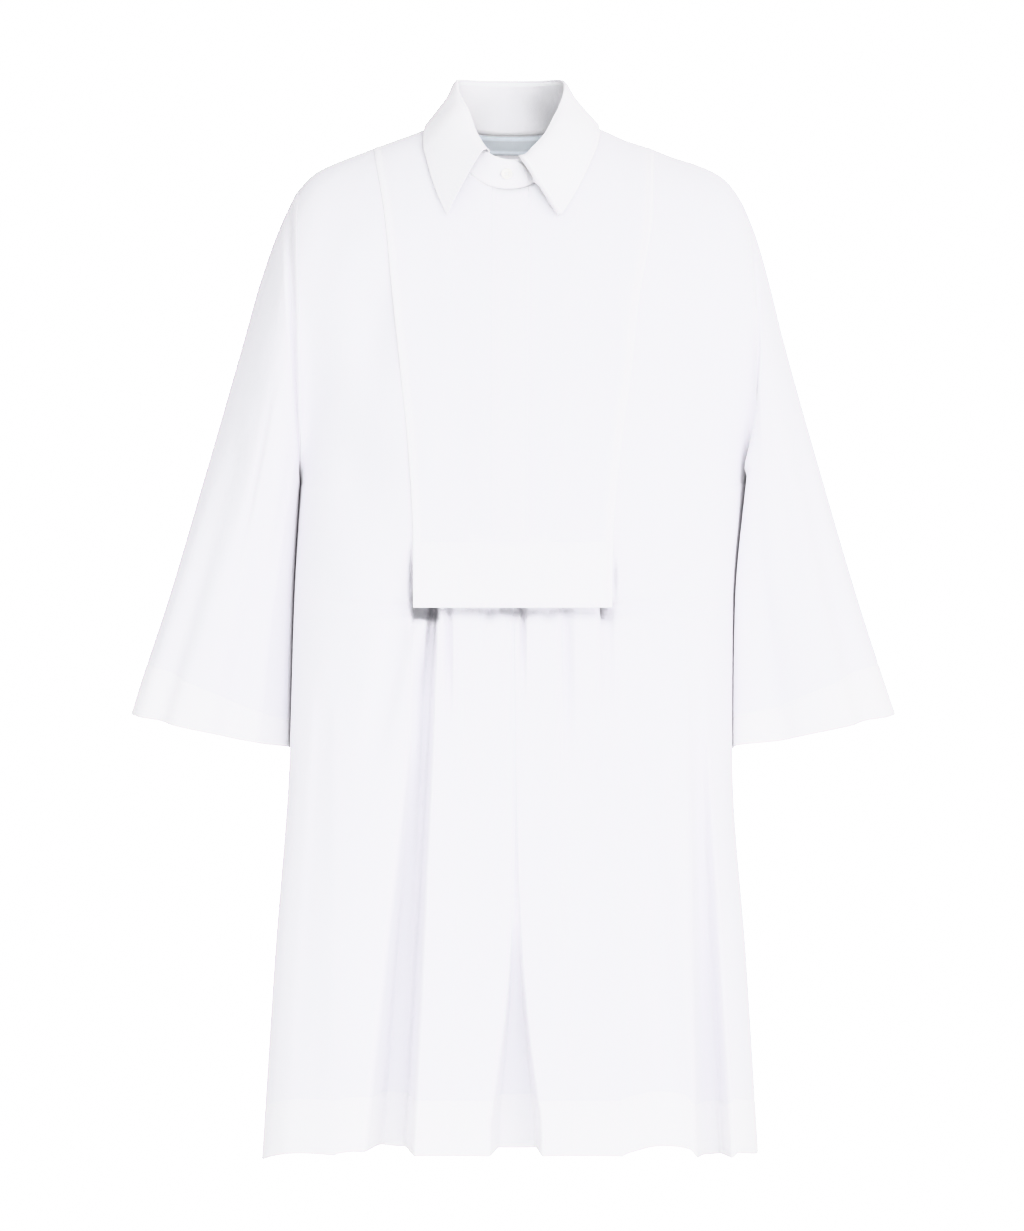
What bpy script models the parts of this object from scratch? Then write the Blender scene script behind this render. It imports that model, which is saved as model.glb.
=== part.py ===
"""A white shirt dress, filled out as if worn, hollow and open at neck, cuffs and hem.

Metres, +Z up. The front faces -Y, and the wearer's right side is at -X.
The origin is the middle of the neck opening, level with the shoulders beside the neck.
Every cloth piece is an open surface, worked out from the tables below, with a Solidify wall
that grows inwards from its outer face. "Drop" is the distance below the origin.
"""
import math
from collections import namedtuple

import bmesh
import bpy
import numpy as np

# ---------------------------------------------------------------- cloth and seams
WALL = 0.0015                 # one layer of cloth with its seam allowances
SEAM = 0.0003                 # gap between sewn pieces
LAY = WALL + SEAM             # how far a piece laid on another one is moved out
SEAM_HALF = 0.00035           # half the gap at side and shoulder seams: it narrows inside
ARMHOLE_GAP = 0.0009          # gap at the armholes: it narrows inside
STAND_GAP = 0.0004            # gap between neckline and collar stand
STAND_INSET = 0.0004          # how far the stand's foot lies inside the neckline
STAND_ROOM = 0.0010           # the placket stops this far below the neckline
FOLD_GAP = 0.0006             # gap between the stand and the leaf that turns over it
LABEL_GAP = 0.0006            # gap between label and back
PLACKET_GAP = 0.0006          # gap between placket and bib

# ---------------------------------------------------------------- body of the dress
# drop: distance below the origin; right, left: half widths on the wearer's right and left;
# front, back: depths of the section
Section = namedtuple("Section", "drop right left front back")
BODY = (
    Section(drop=-0.050, right=0.2120, left=0.2230, front=0.070, back=0.090),
    Section(drop=0.070, right=0.2120, left=0.2260, front=0.090, back=0.102),
    Section(drop=0.155, right=0.2095, left=0.2320, front=0.112, back=0.112),
    Section(drop=0.230, right=0.2085, left=0.2360, front=0.124, back=0.112),
    Section(drop=0.305, right=0.2070, left=0.2330, front=0.127, back=0.108),
    Section(drop=0.370, right=0.2080, left=0.2240, front=0.127, back=0.107),
    Section(drop=0.475, right=0.2110, left=0.2140, front=0.130, back=0.112),
    Section(drop=0.630, right=0.2215, left=0.2190, front=0.140, back=0.124),
    Section(drop=0.830, right=0.2360, left=0.2335, front=0.156, back=0.145),
    Section(drop=1.030, right=0.2485, left=0.2425, front=0.172, back=0.166),
)
FULLNESS = 2.35               # 2 is an ellipse, more is squarer

# the top edge, seen from the front: out is the distance from the middle
Ridge = namedtuple("Ridge", "out drop")
SHOULDER = (
    Ridge(out=0.0000, drop=-0.0400),
    Ridge(out=0.0660, drop=-0.0050),
    Ridge(out=0.0975, drop=0.0085),
    Ridge(out=0.1385, drop=0.0240),
    Ridge(out=0.1815, drop=0.0390),
    Ridge(out=0.1990, drop=0.0470),
    Ridge(out=0.2100, drop=0.0550),
    Ridge(out=0.2165, drop=0.0630),
    Ridge(out=0.2225, drop=0.0710),
    Ridge(out=0.2265, drop=0.0790),
    Ridge(out=0.2385, drop=0.1110),
    Ridge(out=0.2560, drop=0.1630),
    Ridge(out=0.2695, drop=0.2110),
    Ridge(out=0.3105, drop=0.3550),
    Ridge(out=0.3465, drop=0.4750),
    Ridge(out=0.3820, drop=0.5890),
)
SHOULDER_ROLL = 0.125         # height over which the shoulder rounds into the chest
CHEST_DROP = 0.215
ROLL_FULLNESS = 2.0

# armholes
TIP_OUT = {-1: 0.2125, 1: 0.2262}     # shoulder tips: wearer's right (-1) and left (1)
UNDERARM_DROP = 0.362
ARMHOLE_DEPTH = 0.090
ARMHOLE_LOW = 0.150           # height over which the armhole closes to the underarm

# neck
NECK_CENTRE = -0.005
NECK_HALF = 0.066
NECK_SIDE_DROP = -0.004
NECK_FRONT_DROP = 0.077
NECK_BACK_DROP = -0.015
NECK_ROUND = 2.2              # how round the neckline is in the middle, and at its ends
NECK_CORNER = 0.62

# hem
HEM_FRONT_DROP = 1.002
HEM_BACK_DROP = 1.010
HEM_SIDE_DROP = 1.023
HEM_SWEEP = 5.8               # how late the hem turns down towards the sides

# ---------------------------------------------------------------- bib
Edge = namedtuple("Edge", "drop right left")
BIB_EDGE = (
    Edge(drop=0.026, right=0.1390, left=0.1390),
    Edge(drop=0.105, right=0.1250, left=0.1345),
    Edge(drop=0.185, right=0.1165, left=0.1210),
    Edge(drop=0.254, right=0.1091, left=0.1135),
    Edge(drop=0.331, right=0.1013, left=0.1030),
    Edge(drop=0.419, right=0.0965, left=0.0955),
    Edge(drop=0.483, right=0.0962, left=0.0942),
    Edge(drop=1.030, right=0.1250, left=0.1300),
)
BIB_OVERLAP = 0.010           # strip of the front panel under each edge of the bib
BIB_SEAM_DROP = 0.419         # where the skirt's gathers are sewn to the bib
FLAP_DROP = 0.483             # lower edge of the free flap
FLAP_LIFT = 0.0025            # how far the flap stands off the skirt at its edge
PLACKET_RIGHT = 0.0210        # from the middle to the stitching
PLACKET_LEFT = 0.0145         # from the middle to the folded edge
PLACKET_WALL = 0.0010

# ---------------------------------------------------------------- folds
FOLD_FADE = 0.030             # height over which a fold starts, or ends above the hem
FOLD_START = 0.45             # a fold's width where it starts, as a share of its end width
# A fold is a trough pushed into the cloth. It runs from (top_x, top) to (end_x, end),
# is depth_top and depth_end deep, keeps its full depth over flat, and rises to the
# surface over soft_right towards -X and soft_left towards +X, all given at its end.
Fold = namedtuple("Fold", "top_x top end_x end depth_top depth_end flat soft_right soft_left")
FRONT_FOLDS = (
    Fold(-0.078, 0.440, -0.109, 1.03, 0.012, 0.046, 0.004, 0.072, 0.016),
    Fold(-0.0627, 0.440, -0.062, 0.60, 0.010, 0.000, 0.002, 0.012, 0.012),
    Fold(-0.025, 0.440, -0.025, 0.54, 0.006, 0.000, 0.002, 0.012, 0.012),
    Fold(0.010, 0.440, 0.008, 0.60, 0.010, 0.000, 0.002, 0.012, 0.012),
    Fold(0.001, 0.560, 0.004, 1.03, 0.000, 0.056, 0.016, 0.016, 0.016),
    Fold(0.048, 0.440, 0.050, 0.67, 0.007, 0.000, 0.003, 0.012, 0.014),
    Fold(0.0885, 0.440, 0.093, 0.62, 0.011, 0.000, 0.002, 0.012, 0.012),
    Fold(0.105, 0.640, 0.141, 1.03, 0.002, 0.046, 0.022, 0.020, 0.016),
    Fold(0.170, 0.560, 0.205, 1.03, 0.006, 0.003, 0.004, 0.020, 0.030),
    Fold(-0.185, 0.600, -0.200, 1.03, 0.005, 0.003, 0.004, 0.022, 0.030),
)
BACK_FOLDS = (
    Fold(-0.060, 0.250, -0.125, 1.03, 0.002, 0.040, 0.010, 0.034, 0.030),
    Fold(-0.015, 0.300, -0.030, 1.03, 0.001, 0.048, 0.014, 0.026, 0.026),
    Fold(0.030, 0.260, 0.064, 1.03, 0.002, 0.044, 0.012, 0.028, 0.024),
    Fold(0.075, 0.320, 0.150, 1.03, 0.001, 0.036, 0.012, 0.030, 0.034),
    Fold(-0.120, 0.420, -0.200, 1.03, 0.000, 0.016, 0.004, 0.026, 0.026),
)

# ---------------------------------------------------------------- sleeves
CUFF_OUT_DROP = 0.588         # the cuff's outer and inner ends
CUFF_IN_DROP = 0.622
SLEEVE_CLEAR = 0.0035         # the sleeve hangs this far from the body's side
SLEEVE_FULLNESS = 2.2
ARMHOLE_EASE = 3.0            # how soon the armhole's own outline gives way to the tube's
RING_BUNCH = 0.25             # how much closer the rings are at the armhole
CLEAR_ALONG = 0.15            # share of the sleeve over which it comes clear of the body
# along: 0 at the armhole, 1 at the cuff; front, back: depths of the tube
Tube = namedtuple("Tube", "along front back")
SLEEVE_DEPTH = (
    Tube(along=0.00, front=0.088, back=0.088),
    Tube(along=0.30, front=0.094, back=0.094),
    Tube(along=0.70, front=0.086, back=0.088),
    Tube(along=1.00, front=0.080, back=0.084),
)
# around: turns from the shoulder towards the front, half being the underarm
Flute = namedtuple("Flute", "around start depth width")
SLEEVE_FLUTES = (
    Flute(around=0.150, start=0.35, depth=0.009, width=0.055),
    Flute(around=0.300, start=0.25, depth=0.012, width=0.060),
    Flute(around=0.400, start=0.10, depth=0.010, width=0.050),
    Flute(around=0.640, start=0.25, depth=0.012, width=0.060),
    Flute(around=0.800, start=0.30, depth=0.012, width=0.055),
)

# ---------------------------------------------------------------- collar
COLLAR_WALL = 0.0018
AXIS_X = -0.005               # the neck's own middle, which angles are taken about
AXIS_Y = -0.015
STAND_OVERLAP = 0.018         # the button end passes this far over the middle
STAND_TUCK = 4                # columns over which the under end slips behind the outer one
# turn: degrees from the front, wearer's right negative; out: distance from the axis
Band = namedtuple("Band", "turn out drop")
STAND_TOP = (
    Band(turn=-180, out=0.0670, drop=-0.0530),
    Band(turn=-135, out=0.0620, drop=-0.0500),
    Band(turn=-90, out=0.0510, drop=-0.0380),
    Band(turn=-60, out=0.0540, drop=-0.0200),
    Band(turn=-43, out=0.0590, drop=-0.0060),
    Band(turn=-28, out=0.0660, drop=0.0200),
    Band(turn=-12, out=0.0730, drop=0.0430),
    Band(turn=0, out=0.0740, drop=0.0490),
    Band(turn=10, out=0.0735, drop=0.0440),
    Band(turn=20, out=0.0690, drop=0.0340),
    Band(turn=36, out=0.0630, drop=0.0180),
    Band(turn=52, out=0.0590, drop=-0.0020),
    Band(turn=90, out=0.0560, drop=-0.0360),
    Band(turn=135, out=0.0635, drop=-0.0500),
    Band(turn=180, out=0.0670, drop=-0.0530),
)
# the leaf's lower edge, laid on the shirt: x and drop as seen from in front of it;
# turn is where the same line of cloth leaves the stand; face is the side it lies on;
# bow is how far the leaf arches out between stand and edge
Hem = namedtuple("Hem", "turn x drop face bow")
LEAF_EDGE = (
    Hem(turn=-15, x=-0.0645, drop=0.1050, face="front", bow=0.004),
    Hem(turn=-26, x=-0.0761, drop=0.0780, face="front", bow=0.005),
    Hem(turn=-36, x=-0.0844, drop=0.0510, face="front", bow=0.006),
    Hem(turn=-48, x=-0.0890, drop=0.0310, face="front", bow=0.005),
    Hem(turn=-64, x=-0.0895, drop=0.0140, face="front", bow=0.003),
    Hem(turn=-86, x=-0.0885, drop=0.0000, face="front", bow=0.001),
    Hem(turn=-110, x=-0.0830, drop=0.0120, face="back", bow=0.002),
    Hem(turn=-145, x=-0.0520, drop=0.0080, face="back", bow=0.004),
    Hem(turn=-180, x=-0.0040, drop=-0.0020, face="back", bow=0.005),
    Hem(turn=-215, x=0.0450, drop=0.0080, face="back", bow=0.004),
    Hem(turn=-250, x=0.0790, drop=0.0120, face="back", bow=0.002),
    Hem(turn=-274, x=0.0865, drop=0.0000, face="front", bow=0.002),
    Hem(turn=-296, x=0.0868, drop=0.0140, face="front", bow=0.003),
    Hem(turn=-312, x=0.0835, drop=0.0290, face="front", bow=0.005),
    Hem(turn=-326, x=0.0745, drop=0.0520, face="front", bow=0.006),
    Hem(turn=-338, x=0.0620, drop=0.0780, face="front", bow=0.005),
    Hem(turn=-351, x=0.0460, drop=0.1050, face="front", bow=0.004),
)
LEAF_LIFT = 0.0068            # the leaf's edge lies this far off the shirt
LEAF_BOW_HIGH = 0.6           # below 1, the leaf arches most above its middle

BUTTON_DIAMETER = 0.0110
BUTTON_THICKNESS = 0.0024
BUTTON_X = -0.0065
BUTTON_GAP = 0.0006           # gap between button and stand
BUTTON_HOLE = 0.0016
BUTTON_HOLE_SPREAD = 0.0012   # from the middle to each of the four holes
BUTTON_ROUNDING = 0.0005

LABEL_SPAN = 2                # columns of the back on each side of its middle
LABEL_ROWS = 4                # the back's top rows that the label's points are read from
LABEL_FOLD_ROW = 2            # the back's row that the label bends over
LABEL_TOP = -0.0020
LABEL_FOOT = 0.0230
LABEL_WALL = 0.0010

# ---------------------------------------------------------------- grid counts
SIDE_COLUMNS = 11
CENTRE_COLUMNS = 28
ROLL_ROWS = 6
ARMHOLE_ROWS = 6
BIB_ROWS = 1
FLAP_ROWS = 2
SKIRT_ROWS = 8
BACK_STEP = 2                 # the back takes every second column of the front
SLEEVE_ROWS = 9
STAND_ROWS = 3
LEAF_ROWS = 5
PLACKET_COLUMNS = 3
BUTTON_SIDES = 24
HOLE_SIDES = 8


# ---------------------------------------------------------------- curves
def smooth(at, knots, values):
    """A cubic curve through the knots, with slopes limited so that it never overshoots."""
    knots = np.asarray(knots, float)
    values = np.asarray(values, float)
    slopes = np.diff(values) / np.diff(knots)
    tangents = np.zeros_like(values)
    tangents[0] = slopes[0]
    tangents[-1] = slopes[-1]
    product = slopes[:-1] * slopes[1:]
    total = slopes[:-1] + slopes[1:]
    rising = product > 0
    tangents[1:-1][rising] = 2 * product[rising] / total[rising]
    at = np.clip(np.asarray(at, float), knots[0], knots[-1])
    cell = np.clip(np.searchsorted(knots, at, side="right") - 1, 0, len(knots) - 2)
    width = knots[cell + 1] - knots[cell]
    t = (at - knots[cell]) / width
    start = (1 + 2 * t) * (1 - t) ** 2 * values[cell] + t * (1 - t) ** 2 * width * tangents[cell]
    end = t * t * (3 - 2 * t) * values[cell + 1] - t * t * (1 - t) * width * tangents[cell + 1]
    return start + end


def column(table, name, at, by):
    """The table's column, read at a value of its leading column."""
    return smooth(at, [getattr(row, by) for row in table], [getattr(row, name) for row in table])


def half_width(side, drop):
    """The body's half width on the wearer's right (side below 0) or left."""
    return column(BODY, "right" if side < 0 else "left", drop, "drop")


def shoulder_drop(out):
    """Drop of the dress's top edge, seen from the front, at a distance from the middle."""
    return column(SHOULDER, "drop", out, "out")


# ---------------------------------------------------------------- the worn body
def armhole_full(drop):
    """Half depth of the armhole below the shoulder's roll: full, then closing at the underarm."""
    low = np.clip((drop - (UNDERARM_DROP - ARMHOLE_LOW)) / ARMHOLE_LOW, 0, 1)
    return ARMHOLE_DEPTH * np.sqrt(1 - low ** 2)


def roll(out, drop):
    """0 on the shoulder's ridge, 1 where the chest hangs straight: a quarter of a circle."""
    fall = np.clip((drop - shoulder_drop(out)) / SHOULDER_ROLL, 0, 1)
    return (1 - (1 - fall) ** ROLL_FULLNESS) ** (1 / ROLL_FULLNESS)


def body_depth(x, drop, face):
    """Depth of the worn body at x and drop, before folds; face is 'front' or 'back'."""
    side = np.where(x < 0, -1, 1)
    width = np.where(side < 0, half_width(-1, drop), half_width(1, drop))
    across = np.clip(np.abs(x) / width, 0, 1)
    middle = column(BODY, face, drop, "drop")
    edge = armhole_full(drop)
    closing = 1 - edge / ARMHOLE_DEPTH
    power = 1 - closing * (1 - 1 / FULLNESS)
    crown = (1 - across ** FULLNESS) ** power
    return roll(np.abs(x), drop) * (edge + (middle - edge) * crown)


def fold_depth(x, drop, folds):
    """Depth of all the troughs at x and drop, each widening and deepening on its way down."""
    total = np.zeros_like(x)
    for fold in folds:
        along = (drop - fold.top) / (fold.end - fold.top)
        reach = np.clip(along, 0, 1)
        depth = fold.depth_top + (fold.depth_end - fold.depth_top) * reach
        fade_in = np.clip((drop - fold.top) / FOLD_FADE + 1, 0, 1)
        fade_out = np.clip((fold.end - drop) / FOLD_FADE, 0, 1) if fold.depth_end == 0 else 1
        grow = FOLD_START + (1 - FOLD_START) * reach if fold.depth_end > 0 else 1
        middle = fold.top_x + (fold.end_x - fold.top_x) * along
        away = x - middle
        soft = np.where(away < 0, fold.soft_right, fold.soft_left) * grow
        edge = np.clip((np.abs(away) - fold.flat * grow) / soft, 0, 1)
        total += depth * fade_in * fade_out * (0.5 + 0.5 * np.cos(np.pi * edge))
    return total


def normals(points):
    """Unit normals of a grid whose rows run down and columns to the right, facing out."""
    cross = np.cross(np.gradient(points, axis=0), np.gradient(points, axis=1))
    return cross / np.maximum(np.linalg.norm(cross, axis=2, keepdims=True), 1e-12)


def neck_drop(x, face):
    """The neckline's drop at x: a deep curve in front, a shallow one behind."""
    across = np.clip(np.abs(x - NECK_CENTRE) / NECK_HALF, 0, 1)
    lowest = NECK_FRONT_DROP if face == "front" else NECK_BACK_DROP
    return NECK_SIDE_DROP + (lowest - NECK_SIDE_DROP) * (1 - across ** NECK_ROUND) ** NECK_CORNER


def rows_below(top, hem):
    """Drops of the rows from top to hem: round the shoulder, down the armhole, bib and skirt."""
    rolled = 1 - np.cos(np.linspace(0, math.pi / 2, ROLL_ROWS + 1))
    turn = np.sin(np.linspace(0, math.pi / 2, ARMHOLE_ROWS + 1))[1:]
    return np.concatenate([
        top + (CHEST_DROP - top) * rolled,
        CHEST_DROP + (UNDERARM_DROP - CHEST_DROP) * turn,
        np.linspace(UNDERARM_DROP, BIB_SEAM_DROP, BIB_ROWS + 1)[1:],
        np.linspace(BIB_SEAM_DROP, FLAP_DROP, FLAP_ROWS + 1)[1:],
        np.linspace(FLAP_DROP, hem, SKIRT_ROWS + 1)[1:],
    ])


def front_columns(side):
    """Distance from the middle of each column on one side, at each row, side seam first."""
    side_drop = rows_below(float(shoulder_drop(TIP_OUT[side])), HEM_SIDE_DROP)
    edge_drop = rows_below(BIB_EDGE[0].drop, HEM_FRONT_DROP)
    width = half_width(side, side_drop)[:, None]
    edge = column(BIB_EDGE, "right" if side < 0 else "left", edge_drop, "drop")[:, None]
    round_side = np.sin(np.linspace(math.pi / 2, 0, SIDE_COLUMNS + 1))
    centre = np.linspace(1, 0, CENTRE_COLUMNS // 2 + 1)
    return np.hstack([edge + (width - edge) * round_side, (edge - BIB_OVERLAP) * centre])


def top_edge(x, face):
    """Drop of the panel's top edge: the shoulder seam, or the neckline between its ends."""
    at_neck = np.abs(x - NECK_CENTRE) < NECK_HALF
    return np.where(at_neck, neck_drop(x, face), shoulder_drop(np.abs(x)))


def hem_edge(x, middle):
    """Drop of the hem: it hangs lower at the sides than in the middle."""
    across = np.abs(x) / np.abs(x).max()
    return middle + (HEM_SIDE_DROP - middle) * across ** HEM_SWEEP


def panel_points(x, face, hem_middle):
    """Points of a panel from its columns' x, with the drop of each point."""
    top = top_edge(x[0], face)
    hem = hem_edge(x[-1], hem_middle)
    drop = np.stack([rows_below(t, h) for t, h in zip(top, hem)], axis=1)
    turned = -1 if face == "front" else 1
    y = turned * body_depth(x, drop, face)
    return np.stack([x, y, -drop], axis=2), drop


def front_grid():
    """Points of the whole front, without folds, from shoulder and neck to hem."""
    x = np.hstack([-front_columns(-1), front_columns(1)[:, ::-1][:, 1:]])
    return panel_points(x, "front", HEM_FRONT_DROP)


# ---------------------------------------------------------------- meshes
def cloth_mesh(name, points, keep=None, closed=False):
    """A sheet of quads over the grid; keep says which cells are cloth."""
    rows, columns = points.shape[:2]
    mesh = bpy.data.meshes.new(name)
    bm = bmesh.new()
    verts = {}

    def vert(i, j):
        key = (i, j % columns)
        if key not in verts:
            verts[key] = bm.verts.new(points[key])
        return verts[key]

    for i in range(rows - 1):
        for j in range(columns if closed else columns - 1):
            if keep is None or keep[i, j]:
                bm.faces.new((vert(i, j), vert(i + 1, j), vert(i + 1, j + 1), vert(i, j + 1)))
    bm.to_mesh(mesh)
    bm.free()
    mesh.shade_smooth()
    return mesh


def material(name, colour, roughness):
    surface = bpy.data.materials.new(name)
    surface.use_nodes = True
    shader = surface.node_tree.nodes["Principled BSDF"]
    shader.inputs["Base Color"].default_value = (*colour, 1)
    shader.inputs["Roughness"].default_value = roughness
    return surface


def add_piece(name, mesh, surface, wall=None):
    """Put a mesh in the dress as a named piece, with a wall if it is an open surface."""
    piece = bpy.data.objects.new(name, mesh)
    mesh.materials.append(surface)
    bpy.data.collections["shirt_dress"].objects.link(piece)
    if wall:
        shell = piece.modifiers.new("wall", "SOLIDIFY")
        shell.thickness = wall
        shell.offset = -1
    return piece


# ---------------------------------------------------------------- panels
def front_and_bib(cotton):
    """The front with its window for the bib, and the bib laid over the window's edges."""
    plain, drop = front_grid()
    folded = plain.copy()
    folded[:, :, 1] += fold_depth(plain[:, :, 0], drop, FRONT_FOLDS)
    first = SIDE_COLUMNS
    last = plain.shape[1] - 1 - SIDE_COLUMNS
    seam_row = ROLL_ROWS + ARMHOLE_ROWS + BIB_ROWS
    flap_row = seam_row + FLAP_ROWS
    cloth = np.ones((plain.shape[0] - 1, plain.shape[1] - 1), bool)
    cloth[:seam_row, first + 1:last - 1] = False
    folded[:, :, 1] -= SEAM_HALF
    add_piece("front", cloth_mesh("front", folded, cloth), cotton["front"], WALL)

    free = np.clip((drop - BIB_SEAM_DROP) / (FLAP_DROP - BIB_SEAM_DROP), 0, 1)
    laid = plain + normals(plain) * LAY
    laid[:, :, 1] -= SEAM_HALF + FLAP_LIFT * free
    bib = laid[:flap_row + 1, first:last + 1]
    add_piece("bib", cloth_mesh("bib", bib), cotton["bib"], WALL)
    return folded, bib


def placket_strip(bib, cotton):
    """The strip of cloth over the buttons, laid on the bib from neckline to skirt seam."""
    seam_row = ROLL_ROWS + ARMHOLE_ROWS + BIB_ROWS
    rows = bib[:seam_row + 1]
    out = normals(rows)
    places = np.linspace(-PLACKET_RIGHT, PLACKET_LEFT, PLACKET_COLUMNS + 1)
    strip = np.zeros((seam_row + 1, len(places), 3))
    for i, row in enumerate(rows):
        for axis in range(3):
            strip[i, :, axis] = np.interp(places, row[:, 0], row[:, axis])
        lift = np.array([np.interp(places, row[:, 0], out[i, :, axis]) for axis in range(3)]).T
        strip[i] += lift * (PLACKET_WALL + PLACKET_GAP)
    strip[0, :, 2] -= STAND_ROOM
    add_piece("placket", cloth_mesh("placket", strip), cotton["placket"], PLACKET_WALL)


def back_panel(cotton):
    """The plain back, from shoulder seams and neckline to hem."""
    x = np.hstack([-front_columns(-1), front_columns(1)[:, ::-1][:, 1:]])[:, ::BACK_STEP]
    back, drop = panel_points(x, "back", HEM_BACK_DROP)
    back[:, :, 1] -= fold_depth(x, drop, BACK_FOLDS)
    back[:, :, 1] += SEAM_HALF
    back = back[:, ::-1]
    add_piece("back", cloth_mesh("back", back), cotton["back"], WALL)
    return back


def sleeve(side, name, front, back, cotton):
    """A flared tube: each ring leans from the armhole's upright loop to the cuff's flat one."""
    rows = ROLL_ROWS + ARMHOLE_ROWS
    front_edge = front[:rows + 1, 0 if side < 0 else -1]
    back_edge = back[:rows + 1, -1 if side < 0 else 0][::-1]
    loop = np.concatenate([front_edge, back_edge])
    loop[0] = loop[-1] = (loop[0] + loop[-1]) / 2
    loop[rows] = loop[rows + 1] = (loop[rows] + loop[rows + 1]) / 2
    loop = np.delete(loop, rows + 1, axis=0)[:-1]
    middles = (loop + np.roll(loop, -1, axis=0)) / 2
    loop = np.stack([loop, middles], axis=1).reshape(-1, 3)
    loop[:, 0] += side * ARMHOLE_GAP

    tip = float(shoulder_drop(TIP_OUT[side]))
    height = (UNDERARM_DROP - tip) / 2
    level = np.clip((-(tip + height) - loop[:, 2]) / -height, -1, 1)
    turn = np.arccos(level)
    turn[len(turn) // 2 + 1:] = 2 * math.pi - turn[len(turn) // 2 + 1:]

    along = np.linspace(0, 1, SLEEVE_ROWS + 1)[:, None]
    along = (1 - RING_BUNCH) * along + RING_BUNCH * along ** 2
    outer_drop = tip + (CUFF_OUT_DROP - tip) * along
    inner_drop = UNDERARM_DROP + (CUFF_IN_DROP - UNDERARM_DROP) * along
    outer_x = smooth(outer_drop, [row.drop for row in SHOULDER], [row.out for row in SHOULDER])
    clear = ARMHOLE_GAP + (SLEEVE_CLEAR - ARMHOLE_GAP) * np.clip(along / CLEAR_ALONG, 0, 1)
    inner_x = half_width(side, inner_drop) + clear

    power = 2 / SLEEVE_FULLNESS
    up = np.sign(np.cos(turn)) * np.abs(np.cos(turn)) ** power
    forward = np.sign(np.sin(turn)) * np.abs(np.sin(turn)) ** power
    depth = np.where(forward > 0, column(SLEEVE_DEPTH, "front", along, "along"),
                     column(SLEEVE_DEPTH, "back", along, "along"))
    x = (outer_x + inner_x) / 2 + (outer_x - inner_x) / 2 * up
    drop = (outer_drop + inner_drop) / 2 + (outer_drop - inner_drop) / 2 * up
    tube = np.stack([side * x, -depth * forward, -drop], axis=2)
    tube += (loop - tube[0]) * (1 - along[:, :, None]) ** ARMHOLE_EASE

    around = turn / (2 * math.pi)
    pressed = np.zeros_like(x)
    for flute in SLEEVE_FLUTES:
        reach = np.clip((along - flute.start) / (1 - flute.start), 0, 1)
        away = np.clip(np.abs(around - flute.around) / flute.width, 0, 1)
        pressed += flute.depth * np.sin(reach * math.pi / 2) * (0.5 + 0.5 * np.cos(np.pi * away))
    middle = tube.mean(axis=1, keepdims=True)
    inward = middle - tube
    inward[:, :, 2] = 0
    inward /= np.maximum(np.linalg.norm(inward, axis=2, keepdims=True), 1e-9)
    tube += inward * pressed[:, :, None]
    if side > 0:
        tube = tube[:, ::-1]
    add_piece(name, cloth_mesh(name, tube, closed=True), cotton[name], WALL)


# ---------------------------------------------------------------- collar
def around_neck(turn, out, drop):
    """Points at the given degrees and distances from the neck's axis."""
    angle = np.radians(turn)
    return np.stack([AXIS_X + out * np.sin(angle), AXIS_Y - out * np.cos(angle), -drop], axis=1)


def collar_stand(bib, back, cotton):
    """The band round the neck, which crosses itself at the front.

    Gives its points, its top edge as it would be with no crossing, and the degrees round.
    """
    neck_front = bib[0][np.abs(bib[0][:, 0] - NECK_CENTRE) < NECK_HALF]
    neck_back = back[0][np.abs(back[0][:, 0] - NECK_CENTRE) < NECK_HALF]
    over = neck_front[neck_front[:, 0] <= STAND_OVERLAP][::-1]
    under = neck_front[neck_front[:, 0] >= -STAND_OVERLAP][::-1]
    foot = np.concatenate([over, neck_back[::-1], under])
    turn = np.degrees(np.arctan2(foot[:, 0] - AXIS_X, -(foot[:, 1] - AXIS_Y)))
    top = around_neck(turn, column(STAND_TOP, "out", turn, "turn"),
                      column(STAND_TOP, "drop", turn, "turn"))
    tuck = np.zeros(len(foot))
    tuck[-len(under):] = np.clip(np.arange(len(under)) / STAND_TUCK, 0, 1)
    outward = np.stack([np.sin(np.radians(turn)), -np.cos(np.radians(turn)), 0 * turn], axis=1)
    tucked = -outward * (tuck * (COLLAR_WALL + SEAM))[:, None]
    rise = np.linspace(0, 1, STAND_ROWS + 1)[:, None, None]
    foot = foot + np.array([0, 0, STAND_GAP])
    untucked = foot + (top - foot) * rise - outward * STAND_INSET
    points = untucked + tucked
    add_piece("collar_stand", cloth_mesh("collar_stand", points), cotton["collar_stand"],
              COLLAR_WALL)
    return points, untucked[-1], turn


def leaf_edge(walk):
    """The leaf's lower edge at the given degrees, standing off the worn body, and its bow."""
    points = []
    for row in LEAF_EDGE:
        x = np.array([row.x])
        drop = np.array([row.drop])
        depth = float(body_depth(x, drop, row.face)[0])
        tilt = float(roll(np.abs(x), drop)[0])
        away = -1 if row.face == "front" else 1
        points.append((row.x, away * (depth + LEAF_LIFT * tilt),
                       -row.drop + LEAF_LIFT * math.sqrt(1 - tilt * tilt)))
    points = np.array(points)
    knots = [-row.turn for row in LEAF_EDGE]
    edge = np.stack([smooth(walk, knots, points[:, axis]) for axis in range(3)], axis=1)
    return edge, smooth(walk, knots, [row.bow for row in LEAF_EDGE])


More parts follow.
